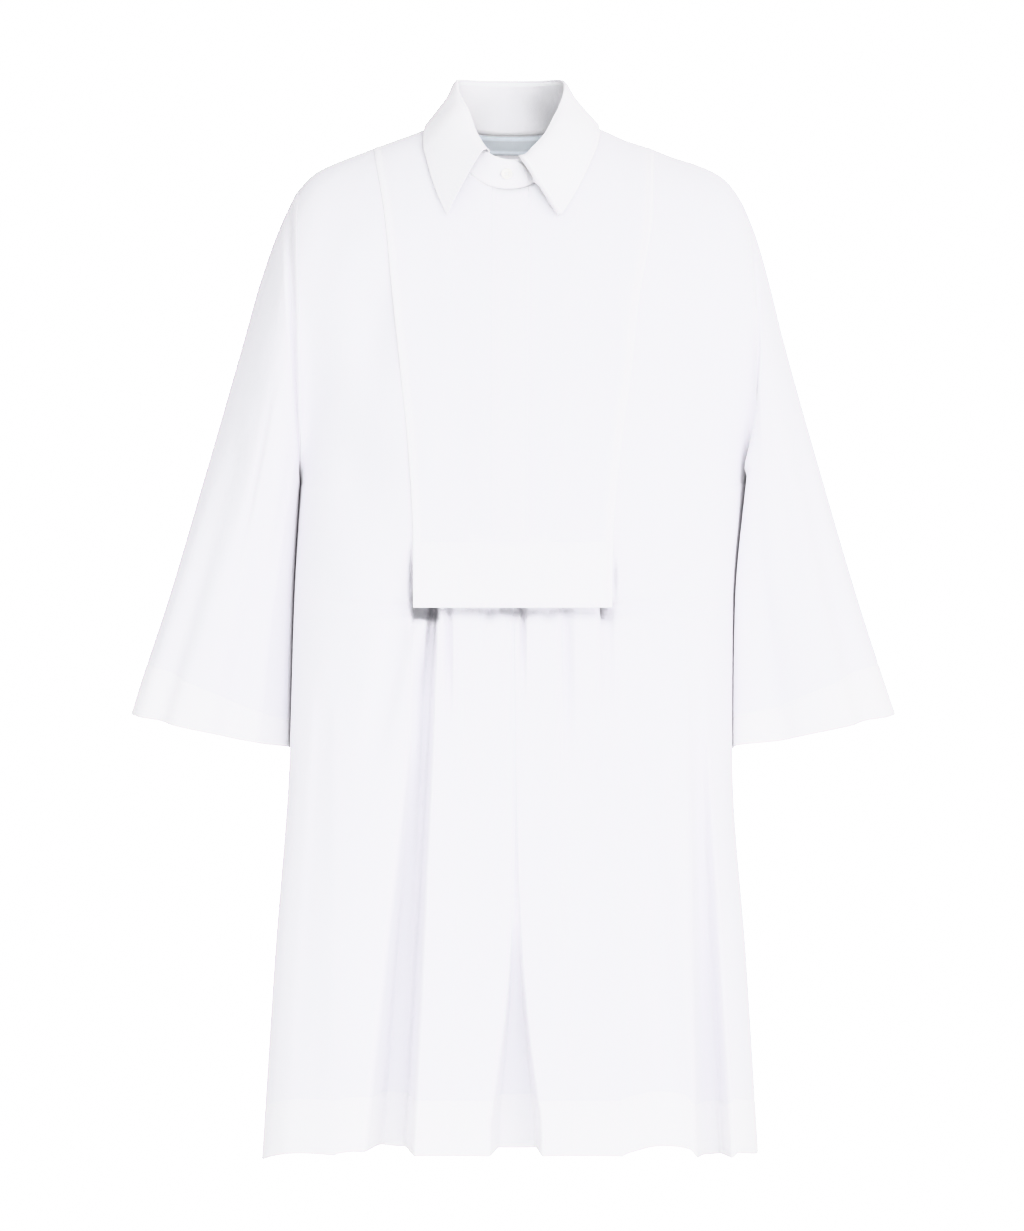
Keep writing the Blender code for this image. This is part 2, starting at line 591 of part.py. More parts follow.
def collar_leaf(top, turn, cotton):
    """The turned-down collar: it leaves the stand's top edge, made from its points, and falls."""
    stand_walk = np.degrees(np.unwrap(np.radians(-turn)))
    first, last = -LEAF_EDGE[0].turn, -LEAF_EDGE[-1].turn
    inner = stand_walk[(stand_walk > first) & (stand_walk < last)]
    knots = np.concatenate([[first], inner, [last]])
    walk = np.sort(np.concatenate([knots, (knots[1:] + knots[:-1]) / 2]))
    fold = np.stack([np.interp(walk, stand_walk, top[:, axis]) for axis in range(3)], axis=1)
    fall = np.linspace(0, 1, LEAF_ROWS + 1)[:, None, None]
    edge, bow = leaf_edge(walk)
    line = edge - fold
    sideways = np.cross(np.gradient(fold, axis=0), line)
    sideways /= np.linalg.norm(sideways, axis=1, keepdims=True)
    off_stand = (COLLAR_WALL + FOLD_GAP) * (1 - fall)
    arch = bow[:, None] * np.sin(np.pi * fall ** LEAF_BOW_HIGH)
    points = fold + line * fall + sideways * (off_stand + arch)
    add_piece("collar_leaf", cloth_mesh("collar_leaf", points[:, ::-1]), cotton["collar_leaf"],
              COLLAR_WALL)


def collar_button(stand, turn, surface):
    """A four-hole button, sewn flat on the stand's outer end."""
    nearest = int(np.argmin(np.abs(stand[1, :len(turn) // 3, 0] - BUTTON_X)))
    middle = (stand[1, nearest] + stand[2, nearest]) / 2
    along = stand[-1, nearest] - stand[0, nearest]
    lean = math.atan2(along[1], along[2])
    mesh = bpy.data.meshes.new("collar_button")
    bm = bmesh.new()
    bmesh.ops.create_cone(bm, cap_ends=True, segments=BUTTON_SIDES, radius1=BUTTON_DIAMETER / 2,
                          radius2=BUTTON_DIAMETER / 2, depth=BUTTON_THICKNESS)
    caps = [face for face in bm.faces if len(face.verts) == BUTTON_SIDES]
    rim = [edge for face in caps for edge in face.edges]
    bmesh.ops.bevel(bm, geom=rim, offset=BUTTON_ROUNDING, segments=2, affect="EDGES")
    bm.to_mesh(mesh)
    bm.free()
    button = add_piece("collar_button", mesh, surface)
    button.rotation_euler = (math.pi / 2 - lean, 0, 0)
    button.location = (BUTTON_X, middle[1] - BUTTON_THICKNESS / 2 - BUTTON_GAP, middle[2])
    for k in range(4):
        angle = math.pi / 4 + k * math.pi / 2
        hole = bpy.data.meshes.new("button_hole")
        bm = bmesh.new()
        bmesh.ops.create_cone(bm, cap_ends=True, segments=HOLE_SIDES, radius1=BUTTON_HOLE / 2,
                              radius2=BUTTON_HOLE / 2, depth=BUTTON_THICKNESS * 2)
        bm.to_mesh(hole)
        bm.free()
        cutter = bpy.data.objects.new("button_hole", hole)
        cutter.location = (BUTTON_HOLE_SPREAD * math.cos(angle),
                           BUTTON_HOLE_SPREAD * math.sin(angle), 0)
        cutter.parent = button
        cutter.hide_render = True
        cutter.display_type = "WIRE"
        bpy.data.collections["cutters"].objects.link(cutter)
        cut = button.modifiers.new("hole", "BOOLEAN")
        cut.object = cutter
        cut.operation = "DIFFERENCE"


def neck_label(back, cotton):
    """A blank label on the inside of the back, its points read from the back's own columns."""
    middle = back.shape[1] // 2
    part = np.s_[:LABEL_ROWS, middle - LABEL_SPAN:middle + LABEL_SPAN + 1]
    columns, out = back[part], normals(back)[part]
    rows = []
    for place in (LABEL_TOP, None, LABEL_FOOT):
        row = []
        for j in range(columns.shape[1]):
            drop = -columns[:, j, 2]
            at = drop[LABEL_FOLD_ROW] if place is None else place
            point = [np.interp(at, drop, columns[:, j, axis]) for axis in range(3)]
            away = [np.interp(at, drop, out[:, j, axis]) for axis in range(3)]
            row.append(np.array(point) - np.array(away) * (WALL + LABEL_GAP))
        rows.append(row)
    add_piece("neck_label", cloth_mesh("neck_label", np.array(rows)), cotton["neck_label"],
              LABEL_WALL)


# ---------------------------------------------------------------- the whole dress
COTTON_PIECES = ("front", "bib", "placket", "back", "sleeve_right", "sleeve_left",
                 "collar_stand", "collar_leaf")


def build():
    for old in list(bpy.data.objects):
        bpy.data.objects.remove(old)
    for name in ("shirt_dress", "cutters"):
        group = bpy.data.collections.new(name)
        bpy.context.scene.collection.children.link(group)
    cotton = {name: material(name, (0.80, 0.80, 0.81), 0.85) for name in COTTON_PIECES}
    cotton["neck_label"] = material("neck_label", (0.28, 0.33, 0.42), 0.70)
    button_white = material("collar_button", (0.78, 0.78, 0.76), 0.35)

    front, bib = front_and_bib(cotton)
    placket_strip(bib, cotton)
    back = back_panel(cotton)
    sleeve(-1, "sleeve_right", front, back, cotton)
    sleeve(1, "sleeve_left", front, back, cotton)
    stand, stand_top, turn = collar_stand(bib, back, cotton)
    collar_leaf(stand_top, turn, cotton)
    collar_button(stand, turn, button_white)
    neck_label(back, cotton)


build()
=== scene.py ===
"""White shirt dress, filled out as if worn: fine cloth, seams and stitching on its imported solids.

Metres, +Z up. The front faces -Y, and the wearer's right side is at -X.
"Drop" is the distance below the origin, which is level with the shoulders beside the neck.
"""
import math
from collections import namedtuple

import bpy
import numpy as np
from bpy.props import FloatProperty, FloatVectorProperty, PointerProperty
from bpy.types import Operator, Panel, PropertyGroup
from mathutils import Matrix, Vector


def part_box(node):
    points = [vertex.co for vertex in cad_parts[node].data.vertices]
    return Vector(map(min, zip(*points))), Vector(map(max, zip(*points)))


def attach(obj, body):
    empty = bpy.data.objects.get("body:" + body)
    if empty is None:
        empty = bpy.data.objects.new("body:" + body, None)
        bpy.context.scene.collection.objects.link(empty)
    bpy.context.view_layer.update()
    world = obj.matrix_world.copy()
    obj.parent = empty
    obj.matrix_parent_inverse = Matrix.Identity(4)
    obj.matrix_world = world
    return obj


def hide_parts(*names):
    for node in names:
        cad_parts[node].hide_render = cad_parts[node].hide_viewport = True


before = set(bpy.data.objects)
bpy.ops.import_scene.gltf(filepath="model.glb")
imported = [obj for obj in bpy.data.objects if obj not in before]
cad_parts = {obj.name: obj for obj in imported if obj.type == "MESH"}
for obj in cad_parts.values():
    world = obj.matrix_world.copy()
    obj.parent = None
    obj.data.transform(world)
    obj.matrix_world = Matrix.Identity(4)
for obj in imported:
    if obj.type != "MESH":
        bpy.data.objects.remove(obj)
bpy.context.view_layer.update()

bl_info = {
    "name": "White shirt dress",
    "version": (1, 0, 0),
    "blender": (4, 5, 0),
    "location": "3D View > Sidebar > Dress",
    "description": "Builds the cloth, seams and buttons of a white shirt dress on its solids",
    "category": "Add Mesh",
}

# ---------------------------------------------------------------- body of the dress
# drop: distance below the origin; right, left: half widths on the wearer's right and left;
# front, back: depths of the section; full: how square it is, 2 being an ellipse
Section = namedtuple("Section", "drop right left front back full")
BODY = (
    Section(drop=-0.050, right=0.2120, left=0.2230, front=0.070, back=0.090, full=3.0),
    Section(drop=0.070, right=0.2120, left=0.2260, front=0.090, back=0.102, full=3.0),
    Section(drop=0.155, right=0.2095, left=0.2320, front=0.112, back=0.112, full=3.0),
    Section(drop=0.230, right=0.2085, left=0.2360, front=0.124, back=0.112, full=3.0),
    Section(drop=0.305, right=0.2085, left=0.2365, front=0.127, back=0.108, full=3.0),
    Section(drop=0.370, right=0.2125, left=0.2315, front=0.127, back=0.107, full=3.0),
    Section(drop=0.475, right=0.2180, left=0.2210, front=0.130, back=0.112, full=3.1),
    Section(drop=0.630, right=0.2220, left=0.2170, front=0.140, back=0.124, full=3.6),
    Section(drop=0.830, right=0.2360, left=0.2300, front=0.156, back=0.145, full=4.0),
    Section(drop=1.030, right=0.2485, left=0.2420, front=0.172, back=0.166, full=4.0),
)

# the top edge, seen from the front: distances from the middle on the wearer's right and left
Ridge = namedtuple("Ridge", "drop right left")
SHOULDER = (
    Ridge(drop=-0.0400, right=0.0000, left=0.0000),
    Ridge(drop=-0.0394, right=0.0100, left=0.0100),
    Ridge(drop=-0.0325, right=0.0300, left=0.0300),
    Ridge(drop=-0.0050, right=0.0660, left=0.0660),
    Ridge(drop=0.0085, right=0.0975, left=0.0955),
    Ridge(drop=0.0160, right=0.1180, left=0.1120),
    Ridge(drop=0.0240, right=0.1400, left=0.1370),
    Ridge(drop=0.0320, right=0.1610, left=0.1570),
    Ridge(drop=0.0390, right=0.1785, left=0.1790),
    Ridge(drop=0.0470, right=0.1950, left=0.1985),
    Ridge(drop=0.0550, right=0.2050, left=0.2105),
    Ridge(drop=0.0630, right=0.2120, left=0.2178),
    Ridge(drop=0.0710, right=0.2185, left=0.2235),
    Ridge(drop=0.0790, right=0.2225, left=0.2280),
    Ridge(drop=0.0950, right=0.2300, left=0.2350),
    Ridge(drop=0.1150, right=0.2385, left=0.2425),
    Ridge(drop=0.1630, right=0.2550, left=0.2560),
    Ridge(drop=0.2110, right=0.2685, left=0.2680),
    Ridge(drop=0.3550, right=0.3100, left=0.3085),
    Ridge(drop=0.4750, right=0.3450, left=0.3440),
    Ridge(drop=0.5550, right=0.3715, left=0.3700),
    Ridge(drop=0.5890, right=0.3820, left=0.3815),
)
SHOULDER_ROLL = 0.125         # height over which the shoulder rounds into the chest
CHEST_DROP = 0.215
ROLL_FULLNESS = 2.0
TIP_OUT = {-1: 0.2125, 1: 0.2262}     # shoulder tips: wearer's right (-1) and left (1)
UNDERARM_DROP = 0.362
ARMHOLE_DEPTH = 0.090
ARMHOLE_LOW = 0.150           # height over which the armhole closes to the underarm
CHEST_SOFT = 0.150            # away from the side, the body closes between these two drops
WAIST_SOFT = 0.400
SIDE_HOLD = 16                # how near the side the armhole keeps its own outline
CROWN_LIMIT = 0.98            # the sleeves look for the body's side no nearer its middle
NECK_CENTRE = -0.005
NECK_HALF = 0.066
NECK_SIDE_DROP = -0.004
NECK_FRONT_DROP = 0.077
NECK_BACK_DROP = 0.000
NECK_ROUND = 2.2              # how round the neckline is in the middle, and at its ends
NECK_CORNER = 0.62
HEM_FRONT_DROP = 1.002
HEM_BACK_DROP = 1.010
HEM_SIDE_DROP = 1.023
HEM_SWEEP = 14                # how late the hem turns down towards the sides
# a dip is a stretch where the front's hem hangs lower (or higher, below 0)
Dip = namedtuple("Dip", "x wide drop")
HEM_DIPS = (
    Dip(x=-0.060, wide=0.050, drop=-0.0010),
    Dip(x=0.060, wide=0.045, drop=-0.0010),
    Dip(x=-0.146, wide=0.024, drop=-0.0040),
    Dip(x=0.1396, wide=0.036, drop=-0.0075),
    Dip(x=0.192, wide=0.022, drop=0.0085),
)
DIP_SHARP = 0.3               # below 1, a dip keeps its depth over most of its width
SEAM_HALF = 0.00015           # half the gap at side and shoulder seams
SEAM_LAP = 0.0030             # how far the bib's top laps over the shoulder seam,
NECK_LAP = 0.0006             # and how far it turns in at the neck

# ---------------------------------------------------------------- bib
Edge = namedtuple("Edge", "drop right left")
BIB_EDGE = (
    Edge(drop=0.026, right=0.1390, left=0.1390),
    Edge(drop=0.105, right=0.1250, left=0.1345),
    Edge(drop=0.185, right=0.1165, left=0.1210),
    Edge(drop=0.254, right=0.1091, left=0.1135),
    Edge(drop=0.331, right=0.1013, left=0.1030),
    Edge(drop=0.419, right=0.0965, left=0.0955),
    Edge(drop=0.483, right=0.0962, left=0.0942),
    Edge(drop=1.030, right=0.1250, left=0.1300),
)
BIB_OVERLAP = 0.010           # strip of the front panel under each edge of the bib
BIB_SEAM_DROP = 0.419         # where the skirt's gathers are sewn to the bib
FLAP_DROP = 0.483             # lower edge of the free flap
FLAP_OUT = 0.0050             # how far its lower edge stands off
FLAP_WAVE = 0.0012            # the wave along that edge, and its radians to the metre
FLAP_TURN = 55
FLAP_CORNER = 0.0015          # what its corners add, and how wide they are
CORNER_WIDE = 0.030
RIM_ROUND = 0.0006            # how far a folded edge rounds off
RIM_SIDE = 0.0018             # over what distance from the side edge
RIM_LOW = 0.0016              # and from the lower edge
FOLD_STEP = 0.002             # distance over which the edge's folded-in cloth comes to its end
SEAM_PULL = 0.8               # the skirt seam's groove, as a share of a stitched line's
BIB_NEAR = (0.0, 0.0006, 0.0018, 0.004)   # columns beside the folded edge
PLACKET_RIGHT = 0.0210        # from the middle to the stitching
PLACKET_LEFT = 0.0145         # from the middle to the folded edge
PLACKET_LIFT = 0.0001         # its least rise off the bib, and what its folded edge adds
PLACKET_RISE = 0.0011
PLACKET_RIM = 0.0005          # how far its fold rounds off, and over what distance
PLACKET_RIM_WIDE = 0.0012
PLACKET_STITCH = 0.0024       # from its edge to its stitching
PLACKET_END = 0.014           # share of its length over which it flattens into the seam
PLACKET_SHORT = 0.001         # it ends this far from neckline and seam

# ---------------------------------------------------------------- folds
# A fold is a trough pushed into the cloth. It runs from (top_x, top) to (end_x, end),
# is depth_top and depth_end deep, keeps its full depth over flat, and rises to the
# surface over right (towards -X) and left (towards +X), all given at its end.
# start is its width where it starts, as a share of its end width, and swell how late it
# widens; fade is the height over which it starts, and over which a fold with no depth at
# its end dies away.
Fold = namedtuple("Fold", "top_x top end_x end depth_top depth_end "
                          "flat right left start swell fade")
FRONT_FOLDS = (
    Fold(-0.0741, 0.440, -0.1177, 1.03, 0.024, 0.074, 0.0080, 0.020, 0.015, 0.09, 0.75, 0.03),
    Fold(-0.1100, 0.500, -0.1400, 0.66, 0.007, 0.000, 0.001, 0.0240, 0.0180, 1.0, 1, 0.09),
    Fold(-0.0627, 0.440, -0.0620, 0.60, 0.009, 0.000, 0.0008, 0.0046, 0.0040, 1.0, 1, 0.09),
    Fold(-0.0310, 0.430, -0.0300, 0.53, 0.003, 0.000, 0.0, 0.0040, 0.0060, 1.0, 1, 0.05),
    Fold(-0.0245, 0.430, -0.0245, 0.51, 0.004, 0.000, 0.0, 0.0040, 0.0060, 1.0, 1, 0.03),
    Fold(0.0092, 0.440, 0.0088, 0.58, 0.010, 0.000, 0.0005, 0.0038, 0.0036, 1.0, 1, 0.09),
    Fold(0.0012, 0.620, 0.0036, 0.97, 0.000, 0.010, 0.0160, 0.0070, 0.0080, 0.06, 2.6, 0.02),
    Fold(0.0023, 0.780, 0.0036, 0.97, 0.000, 0.052, 0.0160, 0.0110, 0.0070, 0.18, 1.6, 0.02),
    Fold(0.0000, 0.505, 0.0026, 0.80, 0.0014, 0.000, 0.0, 0.0012, 0.0016, 1.0, 1, 0.05),
    Fold(-0.0860, 0.478, -0.0850, 0.4965, 0.060, 0.000, 0.0090, 0.0050, 0.0060, 1.0, 1, 0.006),
    Fold(0.0865, 0.478, 0.0870, 0.4955, 0.024, 0.000, 0.0025, 0.0020, 0.0030, 1.0, 1, 0.004),
    Fold(-0.0010, 0.478, -0.0010, 0.4900, 0.012, 0.000, 0.0070, 0.0060, 0.0050, 1.0, 1, 0.005),
    Fold(0.0475, 0.440, 0.0500, 0.66, 0.008, 0.000, 0.0006, 0.0028, 0.0110, 1.0, 1, 0.14),
    Fold(0.0850, 0.440, 0.0875, 0.62, 0.009, 0.000, 0.0006, 0.0040, 0.0110, 1.0, 1, 0.12),
    Fold(0.1250, 0.620, 0.1500, 1.03, 0.002, 0.012, 0.0080, 0.0300, 0.0300, 0.45, 1, 0.05),
    Fold(0.1786, 0.600, 0.1939, 1.03, 0.004, 0.060, 0.0050, 0.0180, 0.0120, 0.50, 1.0, 0.12),
    Fold(-0.1850, 0.600, -0.2000, 1.03, 0.003, 0.003, 0.0040, 0.0220, 0.0300, 0.45, 1, 0.05),
)
BACK_FOLDS = (
    Fold(-0.060, 0.250, -0.125, 1.03, 0.002, 0.040, 0.010, 0.034, 0.030, 0.45, 1, 0.05),
    Fold(-0.015, 0.300, -0.030, 1.03, 0.001, 0.048, 0.014, 0.026, 0.026, 0.45, 1, 0.05),
    Fold(0.030, 0.260, 0.064, 1.03, 0.002, 0.044, 0.012, 0.028, 0.024, 0.45, 1, 0.05),
    Fold(0.075, 0.320, 0.150, 1.03, 0.001, 0.036, 0.012, 0.030, 0.034, 0.45, 1, 0.05),
    Fold(-0.120, 0.420, -0.200, 1.03, 0.000, 0.016, 0.004, 0.026, 0.026, 0.45, 1, 0.05),
)

# A hollow is a soft dent, or a swelling where depth is below 0: wide and high are its
# half sizes, and lean is how far it moves towards +X for each metre it falls.
Hollow = namedtuple("Hollow", "x drop wide high lean depth")
FRONT_HOLLOWS = (
    Hollow(-0.135, 0.218, 0.020, 0.050, -0.05, 0.0080),
    Hollow(-0.152, 0.348, 0.032, 0.045, 0.10, 0.0100),
    Hollow(-0.120, 0.455, 0.024, 0.070, -0.10, 0.0035),
    Hollow(-0.185, 0.140, 0.020, 0.060, -0.35, 0.0025),
    Hollow(-0.165, 0.560, 0.026, 0.090, 0.05, 0.0030),
    Hollow(-0.205, 0.760, 0.020, 0.120, -0.06, 0.0030),
    Hollow(-0.150, 0.880, 0.030, 0.110, 0.00, -0.0020),
    Hollow(0.165, 0.250, 0.024, 0.085, 0.10, 0.0022),
    Hollow(0.185, 0.390, 0.022, 0.080, -0.12, 0.0028),
    Hollow(0.125, 0.480, 0.020, 0.080, 0.15, 0.0025),
    Hollow(0.200, 0.130, 0.018, 0.055, 0.30, 0.0022),
    Hollow(0.150, 0.600, 0.022, 0.100, 0.12, 0.0025),
    Hollow(0.070, 0.800, 0.026, 0.130, 0.04, 0.0020),
    Hollow(-0.050, 0.780, 0.024, 0.140, -0.05, 0.0018),
    Hollow(0.040, 0.680, 0.016, 0.090, 0.00, -0.0016),
    Hollow(-0.2085, 0.290, 0.014, 0.070, 0.00, 0.0040),
    Hollow(0.2340, 0.300, 0.010, 0.070, 0.00, 0.0030),
    Hollow(0.000, 0.4835, 0.100, 0.0058, 0.00, 0.0220),
    Hollow(-0.0235, 0.4885, 0.006, 0.0065, 0.00, 0.0080),
    Hollow(0.0045, 0.4890, 0.011, 0.0065, 0.00, 0.0100),
    Hollow(0.0330, 0.4885, 0.006, 0.0060, 0.00, 0.0080),
    Hollow(0.0700, 0.4870, 0.014, 0.0050, 0.00, 0.0050),
    Hollow(0.0895, 0.4900, 0.006, 0.0100, 0.00, 0.0120),
    Hollow(-0.0975, 0.4620, 0.0024, 0.0260, 0.00, 0.0140),
    Hollow(0.0968, 0.4560, 0.0018, 0.0170, 0.00, 0.0070),
)
BACK_HOLLOWS = (
    Hollow(-0.130, 0.210, 0.030, 0.070, 0.40, 0.0035),
    Hollow(0.125, 0.190, 0.026, 0.080, -0.35, 0.0030),
    Hollow(0.000, 0.120, 0.070, 0.040, 0.00, 0.0020),
    Hollow(-0.165, 0.420, 0.026, 0.090, -0.10, 0.0030),
    Hollow(0.160, 0.450, 0.028, 0.100, 0.12, 0.0032),
    Hollow(-0.040, 0.420, 0.026, 0.110, -0.08, 0.0025),
    Hollow(0.080, 0.560, 0.020, 0.100, 0.10, 0.0022),
    Hollow(-0.195, 0.780, 0.022, 0.130, -0.05, 0.0028),
    Hollow(0.205, 0.820, 0.020, 0.110, 0.05, 0.0026),
)
# what is pressed into each panel, and which way it faces along Y
PANEL_FORMS = {"front": (FRONT_FOLDS, FRONT_HOLLOWS, -1), "back": (BACK_FOLDS, BACK_HOLLOWS, 1)}
BIB_HOLLOWS = (
    Hollow(-0.085, 0.190, 0.018, 0.060, 0.05, 0.0012),
    Hollow(-0.060, 0.330, 0.022, 0.080, 0.03, 0.0012),
    Hollow(0.070, 0.240, 0.026, 0.090, -0.04, 0.0010),
    Hollow(0.050, 0.400, 0.020, 0.060, 0.00, 0.0008),
    Hollow(-0.080, 0.440, 0.014, 0.030, 0.00, 0.0010),
)

# ---------------------------------------------------------------- sleeves
CUFF_OUT_DROP = 0.588         # the cuff's outer and inner ends
CUFF_IN_DROP = 0.622
SLEEVE_CLEAR = 0.0002         # the sleeve hangs this far from the body's side
# values by side: wearer's right (-1) and left (1)
INNER_FRONT = {-1: 1.95, 1: 3.2}      # how square the tube's inner half is, in front and behind
INNER_BACK = 3.0
HUG_FRONT = {-1: (0.70, 1.00), 1: (0.45, 0.88)}   # shares of the inner half over which it
HUG_BACK = (0.45, 0.80)                           # comes to lie on the body
ARMHOLE_DIP = {-1: 0.009, 1: 0.003}   # depth of the groove beside the armhole
DIP_ALONG = 0.028             # where its middle lies, as a share of the sleeve
ARMHOLE_GAP = 0.0003          # between the sleeve's first ring and the body's edge
ARMHOLE_EASE = 3.0            # how soon the armhole's own outline gives way to the tube's
CLEAR_ALONG = 0.15            # share of the sleeve over which it comes clear of the body
# along: 0 at the armhole, 1 at the cuff; front, back: depths of the tube;
# right, left: how full its outer half is on each side, 2 being an ellipse
Tube = namedtuple("Tube", "along front back right left")
SLEEVE_DEPTH = (
    Tube(along=0.00, front=0.088, back=0.088, right=2.00, left=2.2),
    Tube(along=0.15, front=0.084, back=0.088, right=1.60, left=2.2),
    Tube(along=0.40, front=0.076, back=0.084, right=1.45, left=2.3),
    Tube(along=0.60, front=0.071, back=0.078, right=1.80, left=2.4),
    Tube(along=0.75, front=0.069, back=0.076, right=2.20, left=2.4),
    Tube(along=1.00, front=0.067, back=0.074, right=2.40, left=2.4),
)
# around: turns from the shoulder towards the front, half being the underarm;
# drift: how far it moves round towards the underarm by the cuff
Flute = namedtuple("Flute", "around start end depth width drift")
SLEEVE_FLUTES = (
    Flute(around=0.150, start=0.35, end=9.0, depth=0.009, width=0.055, drift=0.000),
    Flute(around=0.300, start=0.25, end=9.0, depth=0.012, width=0.060, drift=0.000),
    Flute(around=0.400, start=0.40, end=9.0, depth=0.002, width=0.050, drift=0.000),
    Flute(around=0.640, start=0.25, end=9.0, depth=0.012, width=0.060, drift=0.000),
    Flute(around=0.800, start=0.30, end=9.0, depth=0.012, width=0.055, drift=0.000),
    Flute(around=0.225, start=0.15, end=0.75, depth=0.0035, width=0.030, drift=0.020),
    Flute(around=0.350, start=0.05, end=0.60, depth=0.0030, width=0.025, drift=-0.010),
    Flute(around=0.560, start=0.15, end=0.85, depth=0.0040, width=0.030, drift=0.015),
    Flute(around=0.720, start=0.10, end=0.70, depth=0.0040, width=0.030, drift=-0.020),
    Flute(around=0.900, start=0.15, end=0.80, depth=0.0030, width=0.030, drift=0.010),
)

# ---------------------------------------------------------------- collar
AXIS_X = -0.005               # the neck's own middle, which angles are taken about
AXIS_Y = -0.015
STAND_GAP = 0.0004            # between neckline and stand
FOOT_LIFT = 0.6               # its foot stands off the body by this share of the bib's lift
STAND_BEGIN = 14.5            # the button end, and the end that lies under it, in degrees
STAND_END = -368.5
STAND_NEAR = (0, 0.4, 1, 2, 3.2, 4.6)     # columns beside the button end, in degrees
STAND_LOW = 0.30              # height of the button end, as a share of the stand's
STAND_CORNER = 13.0           # degrees over which the button end rounds off
STAND_UNDER = -340            # where the under end begins to slip behind the outer one
STAND_TUCK = 26.0             # degrees over which it does, and how far
STAND_BEHIND = 0.0022
# turn: degrees from the front, wearer's right negative; out: distance from the axis
Band = namedtuple("Band", "turn out drop")
STAND_TOP = (
    Band(turn=-180, out=0.0670, drop=-0.0520),
    Band(turn=-135, out=0.0620, drop=-0.0490),
    Band(turn=-90, out=0.0510, drop=-0.0370),
    Band(turn=-60, out=0.0540, drop=-0.0190),
    Band(turn=-43, out=0.0590, drop=-0.0050),
    Band(turn=-28, out=0.0660, drop=0.0210),
    Band(turn=-12, out=0.0730, drop=0.0430),
    Band(turn=0, out=0.0740, drop=0.0475),
    Band(turn=10, out=0.0735, drop=0.0460),
    Band(turn=20, out=0.0690, drop=0.0360),
    Band(turn=36, out=0.0630, drop=0.0190),
    Band(turn=52, out=0.0590, drop=-0.0010),
    Band(turn=90, out=0.0560, drop=-0.0350),
    Band(turn=135, out=0.0635, drop=-0.0490),
    Band(turn=180, out=0.0670, drop=-0.0520),
)
# the leaf's lower edge, laid on the shirt: x and drop as seen from in front of it;
# turn is where the same line of cloth leaves the stand; face is the side it lies on;
# bow is how far the leaf arches out between stand and edge
Hem = namedtuple("Hem", "turn x drop face bow")
LEAF_EDGE = (
    Hem(turn=-15, x=-0.0645, drop=0.1050, face="front", bow=0.004),
    Hem(turn=-26, x=-0.0761, drop=0.0780, face="front", bow=0.005),
    Hem(turn=-36, x=-0.0844, drop=0.0510, face="front", bow=0.006),
    Hem(turn=-48, x=-0.0890, drop=0.0310, face="front", bow=0.005),
    Hem(turn=-64, x=-0.0892, drop=0.0170, face="front", bow=0.002),
    Hem(turn=-86, x=-0.0880, drop=0.0050, face="front", bow=0.000),
    Hem(turn=-110, x=-0.0830, drop=0.0150, face="back", bow=0.002),
    Hem(turn=-145, x=-0.0520, drop=0.0170, face="back", bow=0.004),
    Hem(turn=-180, x=-0.0040, drop=0.0120, face="back", bow=0.005),
    Hem(turn=-215, x=0.0450, drop=0.0170, face="back", bow=0.004),
    Hem(turn=-250, x=0.0790, drop=0.0150, face="back", bow=0.002),
    Hem(turn=-274, x=0.0845, drop=0.0050, face="front", bow=0.000),
    Hem(turn=-296, x=0.0855, drop=0.0160, face="front", bow=0.002),
    Hem(turn=-312, x=0.0835, drop=0.0290, face="front", bow=0.005),
    Hem(turn=-326, x=0.0745, drop=0.0520, face="front", bow=0.006),
    Hem(turn=-338, x=0.0620, drop=0.0780, face="front", bow=0.005),
    Hem(turn=-351, x=0.0460, drop=0.1050, face="front", bow=0.004),
)
LEAF_LIFT = 0.0042            # the leaf's edge lies this far off the shirt
LEAF_BOW_HIGH = 0.6           # below 1, the leaf arches most above its middle
LEAF_GAP = 0.0006             # between the stand's top and the leaf folded over it
LEAF_STAND = (0.0125, 0.0090)     # how far the leaf's first and last front edges stand off
LEAF_STAND_WIDE = (24, 14)    # degrees from each edge over which they do
LEAF_STAND_FROM = 0.12        # share of the way down where it begins, and over which it grows
LEAF_STAND_OVER = 0.15
TIP_LAID = 0.85               # share of it that is gone again at the first edge's tip
# the last front edge is turned under, by these degrees at these shares of its width
TURN_UNDER = (25, 50, 70, 80)
TURN_SHARES = (0.25, 0.5, 0.75, 1.0)
TURN_WIDE = 0.0100
TURN_END = 0.05               # share of the edge over which it narrows at the tip
TURN_BULGE = 0.3              # how much wider it is half way down, and over what share
TURN_BULGE_WIDE = 0.07

# ---------------------------------------------------------------- label and button
LABEL_RIGHT = -0.040          # x of its two ends
LABEL_LEFT = 0.034
LABEL_TOP = -0.0002           # drop of its two edges
LABEL_LOW = 0.0178
LABEL_SEAM = 0.0004           # it starts at least this far below the neckline
LABEL_FOLD = 0.0005           # how far its ends round off, and over what distance
LABEL_FOLD_WIDE = 0.0012
LABEL_LIFT = 0.0009           # how far it lies off the cloth
LABEL_BILLOW = 0.0004         # the ripple of its lower edge, and its radians to the metre
LABEL_TURN = 90
LABEL_CLOTH = 0.0004          # its thickness
BUTTON_SIZE = 0.0112          # across
BUTTON_HOLE = 0.00075         # radius of each thread hole
BUTTON_HOLES_APART = 0.0026
BUTTON_CAP = 0.07             # size of the flat caps that close its two middles
BUTTON_PIT = 0.0011           # depth of the holes, and the width of their rims
BUTTON_PIT_RIM = 0.00018
BUTTON_OFF = 0.0004           # from the stand to the button's back
BUTTON_FACE = 0.0015          # height of the thread on the button's face
BUTTON_THREAD = 0.00022       # radius of its thread, and how far its strands lie apart
STRANDS_APART = 0.00028
HOLE_HALF = 0.0068            # half length of the buttonhole
HOLE_STITCH = 0.0010          # half length of its stitches
HOLE_SUNK = 0.0001            # how far they lie below the button's back
